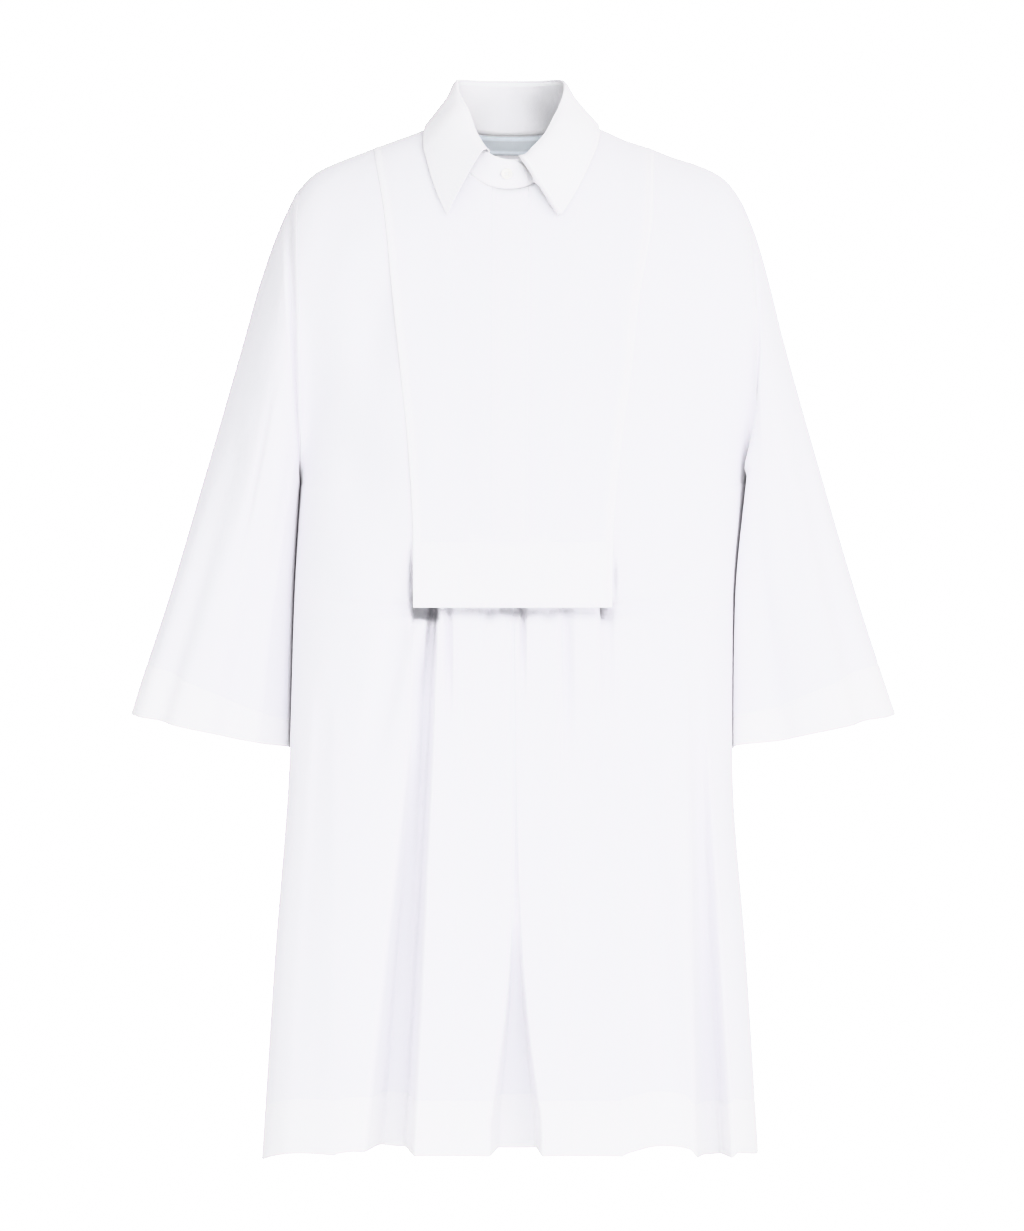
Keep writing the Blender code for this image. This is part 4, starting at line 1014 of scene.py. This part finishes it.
# ---------------------------------------------------------------- sleeves
def sleeve_points(side, front, back, sizes):
    """A flared tube: each ring leans from the armhole's upright loop to the cuff's flat one.

    Its inner half comes to lie against the body's side, where its flutes die away, and a
    groove runs beside the armhole.
    """
    rows = ROLL_ROWS + ARMHOLE_ROWS
    front_edge = front[:rows + 1, 0 if side < 0 else -1]
    back_edge = back[:rows + 1, -1 if side < 0 else 0][::-1]
    loop = np.concatenate([front_edge, back_edge])
    loop[0] = loop[-1] = (loop[0] + loop[-1]) / 2
    loop[rows] = loop[rows + 1] = (loop[rows] + loop[rows + 1]) / 2
    loop = np.delete(loop, rows + 1, axis=0)[:-1]
    loop[:, 0] += side * ARMHOLE_GAP

    tip = float(shoulder_drop(side * TIP_OUT[side]))
    height = (UNDERARM_DROP - tip) / 2
    level = np.clip((-(tip + height) - loop[:, 2]) / -height, -1, 1)
    turn = np.arccos(level)
    turn[len(turn) // 2 + 1:] = 2 * math.pi - turn[len(turn) // 2 + 1:]

    length = CUFF_OUT_DROP - tip
    stitched = 1 - sizes.hem_depth / length
    near = np.array(STITCH_ROWS) / length
    along = np.concatenate([
        np.linspace(0, 1, SLEEVE_ROWS) ** SLEEVE_BUNCH * (stitched - SLEEVE_NEAR),
        stitched + near, np.linspace(stitched + SLEEVE_NEAR, 1, HEM_ROWS + 1)])[:, None]
    outer_drop = tip + length * along
    inner_drop = UNDERARM_DROP + (CUFF_IN_DROP - UNDERARM_DROP) * along
    outer_x = shoulder_out(side, outer_drop)
    clear = ARMHOLE_GAP + (SLEEVE_CLEAR - ARMHOLE_GAP) * np.clip(along / CLEAR_ALONG, 0, 1)
    inner_x = half_width(side, inner_drop) + clear

    outer_full = column(SLEEVE_DEPTH, "right" if side < 0 else "left", along, "along")
    full = np.where(np.sin(turn) > 0, INNER_FRONT[side], INNER_BACK)
    full = np.where(np.cos(turn) > 0, outer_full, full)
    up = np.sign(np.cos(turn)) * np.abs(np.cos(turn)) ** (2 / full)
    forward = np.sign(np.sin(turn)) * np.abs(np.sin(turn)) ** (2 / full)
    depth = np.where(forward > 0, column(SLEEVE_DEPTH, "front", along, "along"),
                     column(SLEEVE_DEPTH, "back", along, "along"))
    x = (outer_x + inner_x) / 2 + (outer_x - inner_x) / 2 * up
    drop = (outer_drop + inner_drop) / 2 + (outer_drop - inner_drop) / 2 * up
    wall = clear + np.where(forward > 0, body_out(side, depth * np.abs(forward), drop, "front"),
                            body_out(side, depth * np.abs(forward), drop, "back"))
    begin, end = (np.where(forward > 0, HUG_FRONT[side][i], HUG_BACK[i]) for i in (0, 1))
    hug = bump(1 - np.clip((-up - begin) / (end - begin), 0, 1))
    x += (wall - x) * hug
    tube = np.stack([side * x, -depth * forward, -drop], axis=2)
    tube += (loop - tube[0]) * (1 - along[:, :, None]) ** ARMHOLE_EASE

    around = turn / (2 * math.pi)
    fluted = np.zeros_like(x)
    for flute in SLEEVE_FLUTES:
        reach = np.clip((along - flute.start) / (1 - flute.start), 0, 1)
        depth = flute.depth * np.sin(reach * math.pi / 2)
        if flute.end < 1:
            reach = np.clip((along - flute.start) / (flute.end - flute.start), 0, 1)
            depth = flute.depth * np.sin(reach * math.pi)
        fluted += depth * bump((around - flute.around - flute.drift * reach) / flute.width)
    fluted *= 1 - hug
    fluted += ARMHOLE_DIP[side] * bump((along - DIP_ALONG) / DIP_ALONG) * np.abs(np.sin(turn))
    middle = tube.mean(axis=1, keepdims=True)
    inward = middle - tube
    inward[:, :, 2] = 0
    inward /= np.maximum(np.linalg.norm(inward, axis=2, keepdims=True), 1e-9)
    tube += inward * fluted[:, :, None]
    tube += inward * groove((along - stitched) * length, sizes)[:, :, None]
    return tube[:, ::-1] if side > 0 else tube


def make_sleeve(side, node, front, back, sizes, colours):
    """A sleeve, sewn to the panels' edges and hemmed at the cuff."""
    tube = sleeve_points(side, front, back, sizes)
    wrapped = np.concatenate([tube[:, -1:], tube, tube[:, :1]], axis=1)
    full, doubled = hemmed(wrapped, sizes)
    piece = cloth_piece(node + "_tube", full[:, 1:-1], cotton("cotton_" + node, colours),
                        sizes.cloth, doubled[:, 1:-1], closed=True)
    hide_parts(node)


# ---------------------------------------------------------------- collar
def neck_foot(turn, sizes):
    """The neckline's points at the given degrees round the neck, from the worn body."""
    x = NECK_CENTRE + NECK_HALF * np.sin(np.linspace(-math.pi / 2, math.pi / 2, NECK_POINTS))
    loops = []
    for face, away in (("front", -1), ("back", 1)):
        drop = neck_drop(x, face)
        points = np.stack([x, away * body_depth(x, drop, face), -drop], axis=1)
        loops.append(points if face == "front" else points[::-1])
    ring = np.concatenate(loops)
    ring[:len(x), 1] -= sizes.laid * FOOT_LIFT
    angle = np.degrees(np.unwrap(np.arctan2(ring[:, 0] - AXIS_X, -(ring[:, 1] - AXIS_Y))))
    ring = np.concatenate([ring, ring, ring])
    angle = np.concatenate([angle - 360, angle, angle + 360])
    order = np.argsort(angle)
    return np.stack([np.interp(turn, angle[order], ring[order, axis]) for axis in range(3)], axis=1)


def around_neck(turn, out, drop):
    """Points at the given degrees and distances from the neck's axis."""
    angle = np.radians(turn)
    return np.stack([AXIS_X + out * np.sin(angle), AXIS_Y - out * np.cos(angle), -drop], axis=1)


def stand_top(turn):
    """The stand's top edge at the given degrees."""
    at = (turn + 180) % 360 - 180
    out, drop = (column(STAND_TOP, name, at, "turn") for name in ("out", "drop"))
    return around_neck(at, out, drop)


def stand_points(sizes):
    """The band round the neck, and its degrees: straight lines from neckline to top edge.

    Its two ends cross at the front, and the outer one rounds off by a quarter of a circle.
    """
    turn = np.concatenate([STAND_BEGIN - np.array(STAND_NEAR),
                           np.linspace(STAND_BEGIN - 6, STAND_END, STAND_COLUMNS)])
    foot = neck_foot(turn, sizes) + np.array([0, 0, STAND_GAP])
    top = stand_top(turn)
    corner = np.clip((STAND_BEGIN - turn) / STAND_CORNER, 0, 1)
    tall = STAND_LOW + (1 - STAND_LOW) * np.sqrt(1 - (1 - corner) ** 2)
    top = foot + (top - foot) * tall[:, None]
    outward = np.stack([np.sin(np.radians(turn)), -np.cos(np.radians(turn)), 0 * turn], axis=1)
    tuck = np.clip((STAND_UNDER - turn) / STAND_TUCK, 0, 1)
    rise = np.linspace(0, 1, STAND_ROWS)[:, None, None]
    points = foot + (top - foot) * rise
    points -= outward * (tuck * STAND_BEHIND)[:, None] * np.clip(rise * 6 + 0.2, 0, 1)
    return points, turn


def make_stand(sizes, colours):
    """The collar's band."""
    points, _ = stand_points(sizes)
    piece = cloth_piece("collar_band", points, cotton("cotton_stand", colours, CRISP["stand"]),
                        sizes.collar_cloth, np.full(points.shape[:2], DOUBLED["stand"]))
    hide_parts("collar_stand")


def leaf_edge(walk):
    """The leaf's lower edge at the given degrees, standing off the worn body, and its bow."""
    points = []
    for row in LEAF_EDGE:
        x, drop = np.array([row.x]), np.array([row.drop])
        depth = float(body_depth(x, drop, row.face)[0])
        tilt = float(roll(x, drop)[0])
        away = -1 if row.face == "front" else 1
        points.append((row.x, away * (depth + LEAF_LIFT * tilt),
                       -row.drop + LEAF_LIFT * math.sqrt(1 - tilt * tilt)))
    points = np.array(points)
    knots = [-row.turn for row in LEAF_EDGE]
    edge = np.stack([smooth(walk, knots, points[:, axis]) for axis in range(3)], axis=1)
    return edge, smooth(walk, knots, [row.bow for row in LEAF_EDGE])


def leaf_points(sizes):
    """The turned-down collar: over the stand's top in a half circle, then down to its edge.

    Between fold and edge each line bows out by a sine; rows and columns close in on the
    edges and their stitching.
    """
    first, last = -LEAF_EDGE[0].turn, -LEAF_EDGE[-1].turn
    walk = first + (last - first) * (0.5 - 0.5 * np.cos(np.linspace(0, math.pi, LEAF_COLUMNS)))
    top = stand_top(-walk)
    edge, bow = leaf_edge(walk)
    line = edge - top
    length = np.linalg.norm(line, axis=1, keepdims=True)
    along = line / length
    sideways = np.cross(np.gradient(top, axis=0), line)
    sideways /= np.linalg.norm(sideways, axis=1, keepdims=True)
    radius = sizes.collar_cloth + LEAF_GAP
    around = np.linspace(0, math.pi, FOLD_ROWS)[:, None, None]
    rolled = top + sideways * (LEAF_GAP - radius * np.cos(around)) - along * radius * np.sin(around)
    stitched = sizes.edge_stitch + np.array([0.0012, 0, -0.0012])
    low = np.array([0.010, *stitched, 0.004, 0.0012, 0.0])
    share = 1 - low[:, None] / length[:, 0]
    upper = np.linspace(0, 1, LEAF_ROWS + 2)[1:-1, None] * share[0]
    fall = np.concatenate([upper, share])[:, :, None]
    arch = bow[:, None] * np.sin(np.pi * fall ** LEAF_BOW_HIGH)
    off = (LEAF_GAP + radius) * (1 - fall)
    sheet = top + line * fall + sideways * (off + arch)
    points = np.concatenate([rolled, sheet])
    # both front edges stand off a little; the last is turned under, back to the shirt
    down = np.linspace(0, 1, len(points))[:, None]
    rise = np.clip((down - LEAF_STAND_FROM) / LEAF_STAND_OVER, 0, 1)
    one, other = (np.clip(1 - far / wide, 0, 1)
                  for far, wide in zip((walk - first, last - walk), LEAF_STAND_WIDE))
    near = LEAF_STAND[0] * one ** 1.5 * (1 - TIP_LAID * down ** 2) + LEAF_STAND[1] * other ** 2
    points += sideways[None] * (near * rise)[:, :, None]
    ahead = points[:, -1:] - points[:, -3:-2]
    ahead /= np.linalg.norm(ahead, axis=2, keepdims=True)
    turn = np.radians(TURN_UNDER)[None, :]
    width = TURN_WIDE * np.clip((1 - down) / TURN_END, 0.25, 1) * rise
    width = width * (1 + TURN_BULGE * bump((down - 0.5) / TURN_BULGE_WIDE))
    step = np.array(TURN_SHARES)[None, :] * width
    under = (points[:, -1:] + ahead * (step * np.cos(turn * 0.75))[:, :, None]
             - sideways[None, -1:] * (step * np.sin(turn * 0.75))[:, :, None])
    points = np.concatenate([points, under], axis=1)
    return points[:, ::-1]


def make_leaf(sizes, colours):
    """The turned-down collar."""
    points = leaf_points(sizes)
    piece = cloth_piece("collar_fall", points, cotton("cotton_collar", colours, CRISP["leaf"]),
                        sizes.collar_cloth, np.full(points.shape[:2], DOUBLED["leaf"]))
    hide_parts("collar_leaf")


# ---------------------------------------------------------------- label and button
def woven_label(colours):
    """The label's cloth: a fine damask, with a paler woven line round its rim."""
    surface, tree, shader = new_surface("woven_label", {"Roughness": 0.6})
    place, rim = cloth_place(tree)
    paler = [min(1, part * LABEL_RIM) for part in colours.label]
    fill(tree, shader, {"Base Color": blend(tree, (*colours.label, 1), (*paler, 1), rim),
                        "Normal": woven(tree, place, LABEL_PITCH, 0.4)})
    return surface


def label_points(sizes):
    """The blank label, laid on the back panel's inner face, with its ends folded under."""
    long = LABEL_LEFT - LABEL_RIGHT
    across = np.concatenate([[0, 0.0004, 0.001, 0.002], np.linspace(0.006, long - 0.006, 24),
                             long - np.array([0.002, 0.001, 0.0004, 0])]) / long
    down = np.linspace(0, 1, 12)[:, None]
    x = LABEL_RIGHT + long * across + 0 * down
    drop = np.maximum(LABEL_TOP, neck_drop(x, "back") + LABEL_SEAM)
    drop = drop + (LABEL_LOW - drop) * down
    points = np.stack([x, body_depth(x, drop, "back"), -drop], axis=2)
    points[:, :, 1] -= hollow_depth(x, drop, BACK_HOLLOWS)
    end = np.minimum(across, 1 - across) * long
    folded = LABEL_FOLD * (1 - np.clip(end / LABEL_FOLD_WIDE, 0, 1)) ** 2
    lift = sizes.cloth + LABEL_LIFT - folded
    billow = LABEL_BILLOW * np.sin(x * LABEL_TURN) * down
    return points + normals(points) * (lift + billow)[:, :, None]


def make_label(sizes, colours):
    """The blank label, with the woven line round its rim."""
    points = label_points(sizes)
    rim = np.zeros(points.shape[:2])
    rim[1:3] = rim[-3:-1] = rim[:, 4] = rim[:, -5] = 1
    piece = cloth_piece("blank_label", points, woven_label(colours), LABEL_CLOTH, rim)
    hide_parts("neck_label")


def pearl(name, colours):
    """The button's finish: white resin with faint pearly swirls, and a clear gloss."""
    surface, tree, shader = new_surface(name, {"Roughness": 0.25, "Coat Weight": 0.4,
                                               "Coat Roughness": 0.1})
    place = add_node(tree, "TexCoord").outputs["Object"]
    swirl = add_node(tree, "TexNoise", {"Vector": place, "Scale": 260.0, "Distortion": 2.5})
    deeper = [part * 0.92 for part in colours.button]
    fill(tree, shader, {"Base Color": blend(tree, (*deeper, 1), (*colours.button, 1),
                                            swirl.outputs["Fac"])})
    return surface


def button_seat(sizes):
    """The button's place on the stand: its middle, and directions to the left, up and out."""
    low, high = (np.array(corner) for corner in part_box("collar_button"))
    middle = (low + high) / 2
    band, turn = stand_points(sizes)
    out = normals(band)
    ahead = np.abs(turn) < 20
    near = np.where(ahead, np.hypot(band[:, :, 0] - middle[0], band[:, :, 2] - middle[2]), 1)
    row, at = np.unravel_index(np.argmin(near), near.shape)
    facing = out[row, at] * (-1 if out[row, at, 1] > 0 else 1)
    left = np.cross(np.array([0, 0, 1.0]), facing) * -1
    left /= np.linalg.norm(left)
    seat = np.array([middle[0], band[row, at, 1], middle[2]]) + facing * BUTTON_OFF
    return seat, left, np.cross(facing, left) * -1, facing


def button_points(seat, left, up, out):
    """The turned section carried round the button's axis, with its thread holes pressed in."""
    radius = [row.out for row in BUTTON_SECTION]
    walk = np.arange(len(radius))
    # close rings on the face, where the holes are; the walk stops short of both middles
    fine = np.concatenate([np.linspace(BUTTON_CAP, 1, 26),
                           np.linspace(1, walk[-1] - BUTTON_CAP, 44)[1:]])
    across = smooth(fine, walk, radius)[:, None] * BUTTON_SIZE / 2
    high = smooth(fine, walk, [row.high for row in BUTTON_SECTION])[:, None]
    angle = np.linspace(0, 2 * math.pi, 73)[None, :-1]
    x, y = across * np.cos(angle), across * np.sin(angle)
    hole = np.hypot(np.abs(x) - BUTTON_HOLES_APART / 2, np.abs(y) - BUTTON_HOLES_APART / 2)
    pit = np.clip((BUTTON_HOLE - hole) / BUTTON_PIT_RIM + 0.5, 0, 1) * (fine < 3)[:, None]
    high = high - BUTTON_PIT * pit
    return seat + left * x[:, :, None] + up * y[:, :, None] + out * high[:, :, None]


def button_thread(seat, left, up, out):
    """Three strands over each pair of holes, crossed, and both sides of the buttonhole."""
    ends = np.array([[-1, -1], [1, 1], [-1, 1], [1, -1]]) * BUTTON_HOLES_APART / 2
    spots = seat + left * ends[:, :1] + up * ends[:, 1:] + out * BUTTON_FACE
    runs = []
    for one, other in (spots[:2], spots[2:]):
        across = np.cross(other - one, out) / np.linalg.norm(other - one)
        for off in (-STRANDS_APART, 0, STRANDS_APART):
            runs.append((one + across * off, other + across * off, out))
    bar = seat - out * HOLE_SUNK + left * np.linspace(-HOLE_HALF, HOLE_HALF, 28)[:, None]
    facing = np.repeat(out[None], len(bar), axis=0)
    lines = [tuple(np.array([run[part] for run in runs]) for part in range(3)),
             (bar + up * HOLE_STITCH, bar - up * HOLE_STITCH, facing)]
    thread_piece("button_threads", lines, BUTTON_THREAD)


def make_button(sizes, colours):
    """The collar's button and its thread."""
    seat, left, up, out = button_seat(sizes)
    points = button_points(seat, left, up, out)
    rings, spokes = points.shape[:2]
    i, j = np.meshgrid(np.arange(rings - 1), np.arange(spokes), indexing="ij")
    k = (j + 1) % spokes
    above, below = i * spokes, (i + 1) * spokes
    quads = np.stack([above + j, below + j, below + k, above + k], 2)
    caps = [list(range(spokes)), list(range(rings * spokes - 1, (rings - 1) * spokes - 1, -1))]
    mesh = bpy.data.meshes.new("collar_button_turned")
    mesh.from_pydata(points.reshape(-1, 3).tolist(), [], quads.reshape(-1, 4).tolist() + caps)
    mesh.shade_smooth()
    piece = dress_piece("collar_button_turned", mesh, pearl("pearl_button", colours))
    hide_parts("collar_button")
    button_thread(seat, left, up, out)


# ---------------------------------------------------------------- stitches
def running_stitches(line, out, sizes):
    """Both ends and the outward direction of each stitch along a line of points."""
    run = np.concatenate([[0], np.cumsum(np.linalg.norm(np.diff(line, axis=0), axis=1))])
    begin = np.arange(sizes.stitch / 2, run[-1] - sizes.stitch, sizes.stitch)
    end = begin + sizes.stitch * STITCH_SHARE
    return [np.stack([np.interp(at, run, values[:, axis]) for axis in range(3)], axis=1)
            for at, values in ((begin, line), (end, line), (begin, out))]


def thread_piece(name, runs, radius):
    """Short threads: rings carried from end to end, closed, both ends sunk into the cloth."""
    begin, end, out = (np.concatenate([np.asarray(run[part]) for run in runs]) for part in range(3))
    line = (end - begin)[:, None, None]
    side = np.cross(end - begin, out)
    side = (side / np.linalg.norm(side, axis=1, keepdims=True))[:, None, None]
    out = out[:, None, None]
    share = np.array([0, 0.25, 0.75, 1])[None, :, None, None]
    thick = radius * np.array([0.5, 1, 1, 0.5])[None, :, None, None]
    lift = radius * np.array([-0.7, 0.5, 0.5, -0.7])[None, :, None, None]
    angle = (np.arange(THREAD_SIDES) * 2 * math.pi / THREAD_SIDES)[None, None, :, None]
    points = (begin[:, None, None] + line * share + side * thick * np.cos(angle)
              + out * (lift + thick * np.sin(angle)))
    count = THREAD_SIDES * THREAD_RINGS
    first = np.arange(len(begin))[:, None, None, None] * count
    ring = np.arange(THREAD_RINGS - 1)[None, :, None, None] * THREAD_SIDES
    corner = np.arange(THREAD_SIDES)[None, None, :, None]
    after = (corner + 1) % THREAD_SIDES
    quads = first + ring + np.concatenate(
        [corner, corner + THREAD_SIDES, after + THREAD_SIDES, after], axis=3)
    cap = np.arange(THREAD_SIDES)
    caps = first[:, 0] + np.stack([cap, count - 1 - cap])[None]
    mesh = bpy.data.meshes.new(name)
    mesh.from_pydata(points.reshape(-1, 3).tolist(), [],
                     quads.reshape(-1, 4).tolist() + caps.reshape(-1, THREAD_SIDES).tolist())
    mesh.shade_smooth()
    thread = bpy.data.materials.get("white_thread")
    piece = dress_piece(name, mesh, thread or plain_surface("white_thread", THREAD_COLOUR, 0.5)[0])
    return piece


def hem_line(points, sizes, closed=False):
    """Stitches between the two rows that the hem's stitching pulls in, the middle STITCH_ROWS."""
    row = len(points) - HEM_ROWS - 3
    out = normals(points)
    line = (points[row - 1] + points[row]) / 2
    facing = out[row]
    if closed:
        line, facing = np.vstack([line, line[:1]]), np.vstack([facing, facing[:1]])
    return running_stitches(line, facing, sizes)


def collar_lines(sizes):
    """Stitches beside the leaf's lower edge, and beside its two front edges."""
    points = leaf_points(sizes)[:, LEAF_TURNED:]
    out = normals(points)
    row = LEAF_STITCHED
    lines, ends = [], []
    for grid, facing in ((points, out), (points[:, ::-1], out[:, ::-1])):
        run = np.cumsum(np.linalg.norm(np.diff(grid[FOLD_ROWS:row + 1], axis=1), axis=2), axis=1)
        at = np.argmin(np.abs(run - sizes.edge_stitch), axis=1) + 1
        rows = np.arange(FOLD_ROWS, row + 1)
        lines.append(running_stitches(grid[rows, at], facing[rows, at], sizes))
        ends.append(at[-1])
    last = points.shape[1] - ends[1]
    lines.append(running_stitches(points[row, ends[0]:last], out[row, ends[0]:last], sizes))
    return lines


def make_stitches(sizes):
    """All running stitches: hems, the bib's edges, placket and collar."""
    front, back = folded_panel("front", sizes), folded_panel("back", sizes)
    thread_piece("skirt_hem_stitches", [hem_line(grid, sizes) for grid in (front, back)],
                 sizes.thread)
    for side, node in ((-1, "sleeve_right"), (1, "sleeve_left")):
        tube = sleeve_points(side, front, back, sizes)
        thread_piece(node + "_stitches", [hem_line(tube, sizes, closed=True)], sizes.thread)
    x, drop = bib_grid(sizes)
    bib = bib_face(x, drop, sizes)
    out = normals(bib)
    low, edge = -BIB_LOW, BIB_EDGE_COLUMN
    lines = (np.s_[:low, edge], np.s_[:low, -1 - edge], np.s_[low, edge:-edge])
    thread_piece("bib_stitches", [running_stitches(bib[line], out[line], sizes) for line in lines],
                 sizes.thread)
    strip = placket_face(sizes)
    facing = normals(strip)
    line = np.s_[1:-2, PLACKET_COLUMN]
    thread_piece("placket_stitches", [running_stitches(strip[line], facing[line], sizes)],
                 sizes.thread)
    thread_piece("collar_stitches", collar_lines(sizes), sizes.thread)


# ---------------------------------------------------------------- properties
class DressSizes(PropertyGroup):
    cloth: FloatProperty(name="Cloth", description="Thickness of one layer of cloth",
                         default=0.0006, unit="LENGTH")
    collar_cloth: FloatProperty(name="Collar cloth", default=0.0012, unit="LENGTH",
                                description="Thickness of the stiffened collar")
    laid: FloatProperty(name="Bib lift", default=0.0008, unit="LENGTH",
                        description="How far the bib's outer face lies off the front")
    fold_lift: FloatProperty(name="Folded edge", description="How much a folded-in edge adds",
                             default=0.0003, unit="LENGTH")
    turn_gap: FloatProperty(name="Turned hem", description="Distance of a hem's turned-in layer",
                            default=0.0016, unit="LENGTH")
    hem_depth: FloatProperty(name="Hem depth", description="Depth of the hems on skirt and sleeves",
                             default=0.050, unit="LENGTH")
    edge_stitch: FloatProperty(name="Edge stitching", description="Distance of edge stitching",
                               default=0.0065, unit="LENGTH")
    stitch: FloatProperty(name="Stitch length", description="From one stitch to the next",
                          default=0.0030, unit="LENGTH")
    thread: FloatProperty(name="Thread", description="Radius of the sewing thread",
                          default=0.00016, unit="LENGTH")
    stitch_pull: FloatProperty(name="Stitch pull", default=0.0006, unit="LENGTH",
                               description="How deep stitching pulls the cloth in")


class DressColours(PropertyGroup):
    cotton: FloatVectorProperty(name="Cotton", description="White cotton, single layer",
                                default=(0.822, 0.817, 0.842), subtype="COLOR", min=0, max=1)
    cotton_doubled: FloatVectorProperty(name="Cotton, doubled", subtype="COLOR", min=0, max=1,
                                        description="White cotton, doubled",
                                        default=(0.850, 0.845, 0.860))
    label: FloatVectorProperty(name="Label", description="Woven label",
                               default=(0.63, 0.665, 0.70), subtype="COLOR", min=0, max=1)
    button: FloatVectorProperty(name="Button", description="Pearly white resin",
                                default=(0.86, 0.855, 0.84), subtype="COLOR", min=0, max=1)


def sizes_of():
    return bpy.context.scene.dress_sizes


def colours_of():
    return bpy.context.scene.dress_colours


def light_surround(scene):
    """Light from all round, which grows evenly in one direction, before a white backdrop."""
    world = bpy.data.worlds.new("studio")
    scene.world = world
    world.use_nodes = True
    tree = world.node_tree
    background = tree.nodes["Background"]
    background.inputs["Color"].default_value = (1, 1, 1, 1)
    toward = add_node(tree, "VectorMath", {0: add_node(tree, "TexCoord").outputs["Generated"],
                                           1: BRIGHTER}, operation="DOT_PRODUCT")
    ambient = add_node(tree, "Math", {0: toward.outputs["Value"], 1: AMBIENT, 2: AMBIENT},
                       operation="MULTIPLY_ADD")
    seen_strength(tree, background.inputs["Strength"], ambient.outputs[0], BACKDROP)


def hang_light(scene, row):
    """A soft box or a spot, turned so that it faces its aim."""
    light = bpy.data.lights.new(row.name, "SPOT" if row.cone else "AREA")
    if row.cone:
        light.spot_size = math.radians(row.cone)
        light.spot_blend = 1.0
        light.shadow_soft_size = row.size / 2
    else:
        light.shape = "SQUARE"
        light.size = row.size
    light.energy = row.power
    light.color = row.colour
    lamp = bpy.data.objects.new(row.name, light)
    lamp.location = row.place
    lamp.visible_camera = False
    x, y, z = np.array(row.aimed) - np.array(row.place)
    lamp.rotation_euler = (math.atan2(math.hypot(x, y), -z), 0, math.atan2(-x, y))
    scene.collection.objects.link(lamp)


def lay_floor(scene):
    """A wide pale floor below the hem, as white as the backdrop."""
    mesh = bpy.data.meshes.new("floor")
    mesh.from_pydata([(x * FLOOR_HALF, y * FLOOR_HALF, -FLOOR_DROP)
                      for x, y in ((-1, -1), (1, -1), (1, 1), (-1, 1))], [], [(0, 1, 2, 3)])
    floor = bpy.data.objects.new("floor", mesh)
    pale, tree, shader = plain_surface("pale_floor", (0.6, 0.6, 0.6), 0.9)
    shader.inputs["Emission Color"].default_value = (1, 1, 1, 1)
    seen_strength(tree, shader.inputs["Emission Strength"], FLOOR_GLOW, BACKDROP)
    mesh.materials.append(pale)
    scene.collection.objects.link(floor)


def stand_camera(scene):
    """A long lens in front of the dress, level with its middle."""
    camera = bpy.data.cameras.new("camera")
    camera.sensor_fit = "VERTICAL"
    camera.angle_y = 2 * math.atan(VIEW_HALF / -EYE[1])
    camera.clip_end = 100
    eye = bpy.data.objects.new("camera", camera)
    eye.location = EYE
    eye.rotation_euler = (math.pi / 2, 0, 0)
    scene.collection.objects.link(eye)
    scene.camera = eye


class DRESS_OT_stage(Operator):
    """Floor, soft light and camera"""
    bl_idname = "dress.stage"
    bl_label = "Stage"

    def execute(self, context):
        context.scene.view_settings.view_transform = "Khronos PBR Neutral"
        light_surround(context.scene)
        for row in LIGHTS:
            hang_light(context.scene, row)
        lay_floor(context.scene)
        stand_camera(context.scene)
        return {"FINISHED"}


class DRESS_OT_panels(Operator):
    """Front, back, bib and placket"""
    bl_idname = "dress.panels"
    bl_label = "Panels"

    def execute(self, context):
        sizes, colours = sizes_of(), colours_of()
        make_front(sizes, colours)
        make_back(sizes, colours)
        make_bib(sizes, colours)
        make_placket(sizes, colours)
        return {"FINISHED"}


class DRESS_OT_sleeves(Operator):
    """Both sleeves, with their turned hems"""
    bl_idname = "dress.sleeves"
    bl_label = "Sleeves"

    def execute(self, context):
        sizes, colours = sizes_of(), colours_of()
        front, back = folded_panel("front", sizes), folded_panel("back", sizes)
        make_sleeve(-1, "sleeve_right", front, back, sizes, colours)
        make_sleeve(1, "sleeve_left", front, back, sizes, colours)
        return {"FINISHED"}


class DRESS_OT_collar(Operator):
    """Collar band and fall"""
    bl_idname = "dress.collar"
    bl_label = "Collar"

    def execute(self, context):
        sizes, colours = sizes_of(), colours_of()
        make_stand(sizes, colours)
        make_leaf(sizes, colours)
        return {"FINISHED"}


class DRESS_OT_label_and_button(Operator):
    """Blank neck label, and the collar's button with its threads"""
    bl_idname = "dress.label_and_button"
    bl_label = "Label and button"

    def execute(self, context):
        make_label(sizes_of(), colours_of())
        make_button(sizes_of(), colours_of())
        return {"FINISHED"}


class DRESS_OT_stitches(Operator):
    """Running stitches of hems, bib, placket and collar"""
    bl_idname = "dress.stitches"
    bl_label = "Stitches"

    def execute(self, context):
        make_stitches(sizes_of())
        return {"FINISHED"}


class DRESS_PT_panel(Panel):
    bl_idname = "DRESS_PT_panel"
    bl_label = "Dress"
    bl_space_type = "VIEW_3D"
    bl_region_type = "UI"
    bl_category = "Dress"

    def draw(self, context):
        for group in (context.scene.dress_sizes, context.scene.dress_colours):
            for name in group.__annotations__:
                self.layout.prop(group, name)
        for operator in OPERATORS:
            self.layout.operator(operator.bl_idname)


OPERATORS = (DRESS_OT_stage, DRESS_OT_panels, DRESS_OT_sleeves, DRESS_OT_collar,
             DRESS_OT_label_and_button, DRESS_OT_stitches)
CLASSES = (DressSizes, DressColours, *OPERATORS, DRESS_PT_panel)


def register():
    for made in CLASSES:
        bpy.utils.register_class(made)
    bpy.types.Scene.dress_sizes = PointerProperty(type=DressSizes)
    bpy.types.Scene.dress_colours = PointerProperty(type=DressColours)


def unregister():
    del bpy.types.Scene.dress_sizes
    del bpy.types.Scene.dress_colours
    for made in reversed(CLASSES):
        bpy.utils.unregister_class(made)


def main():
    register()
    bpy.ops.dress.stage()
    bpy.ops.dress.panels()
    bpy.ops.dress.sleeves()
    bpy.ops.dress.collar()
    bpy.ops.dress.label_and_button()
    bpy.ops.dress.stitches()


if __name__ == "__main__":
    main()
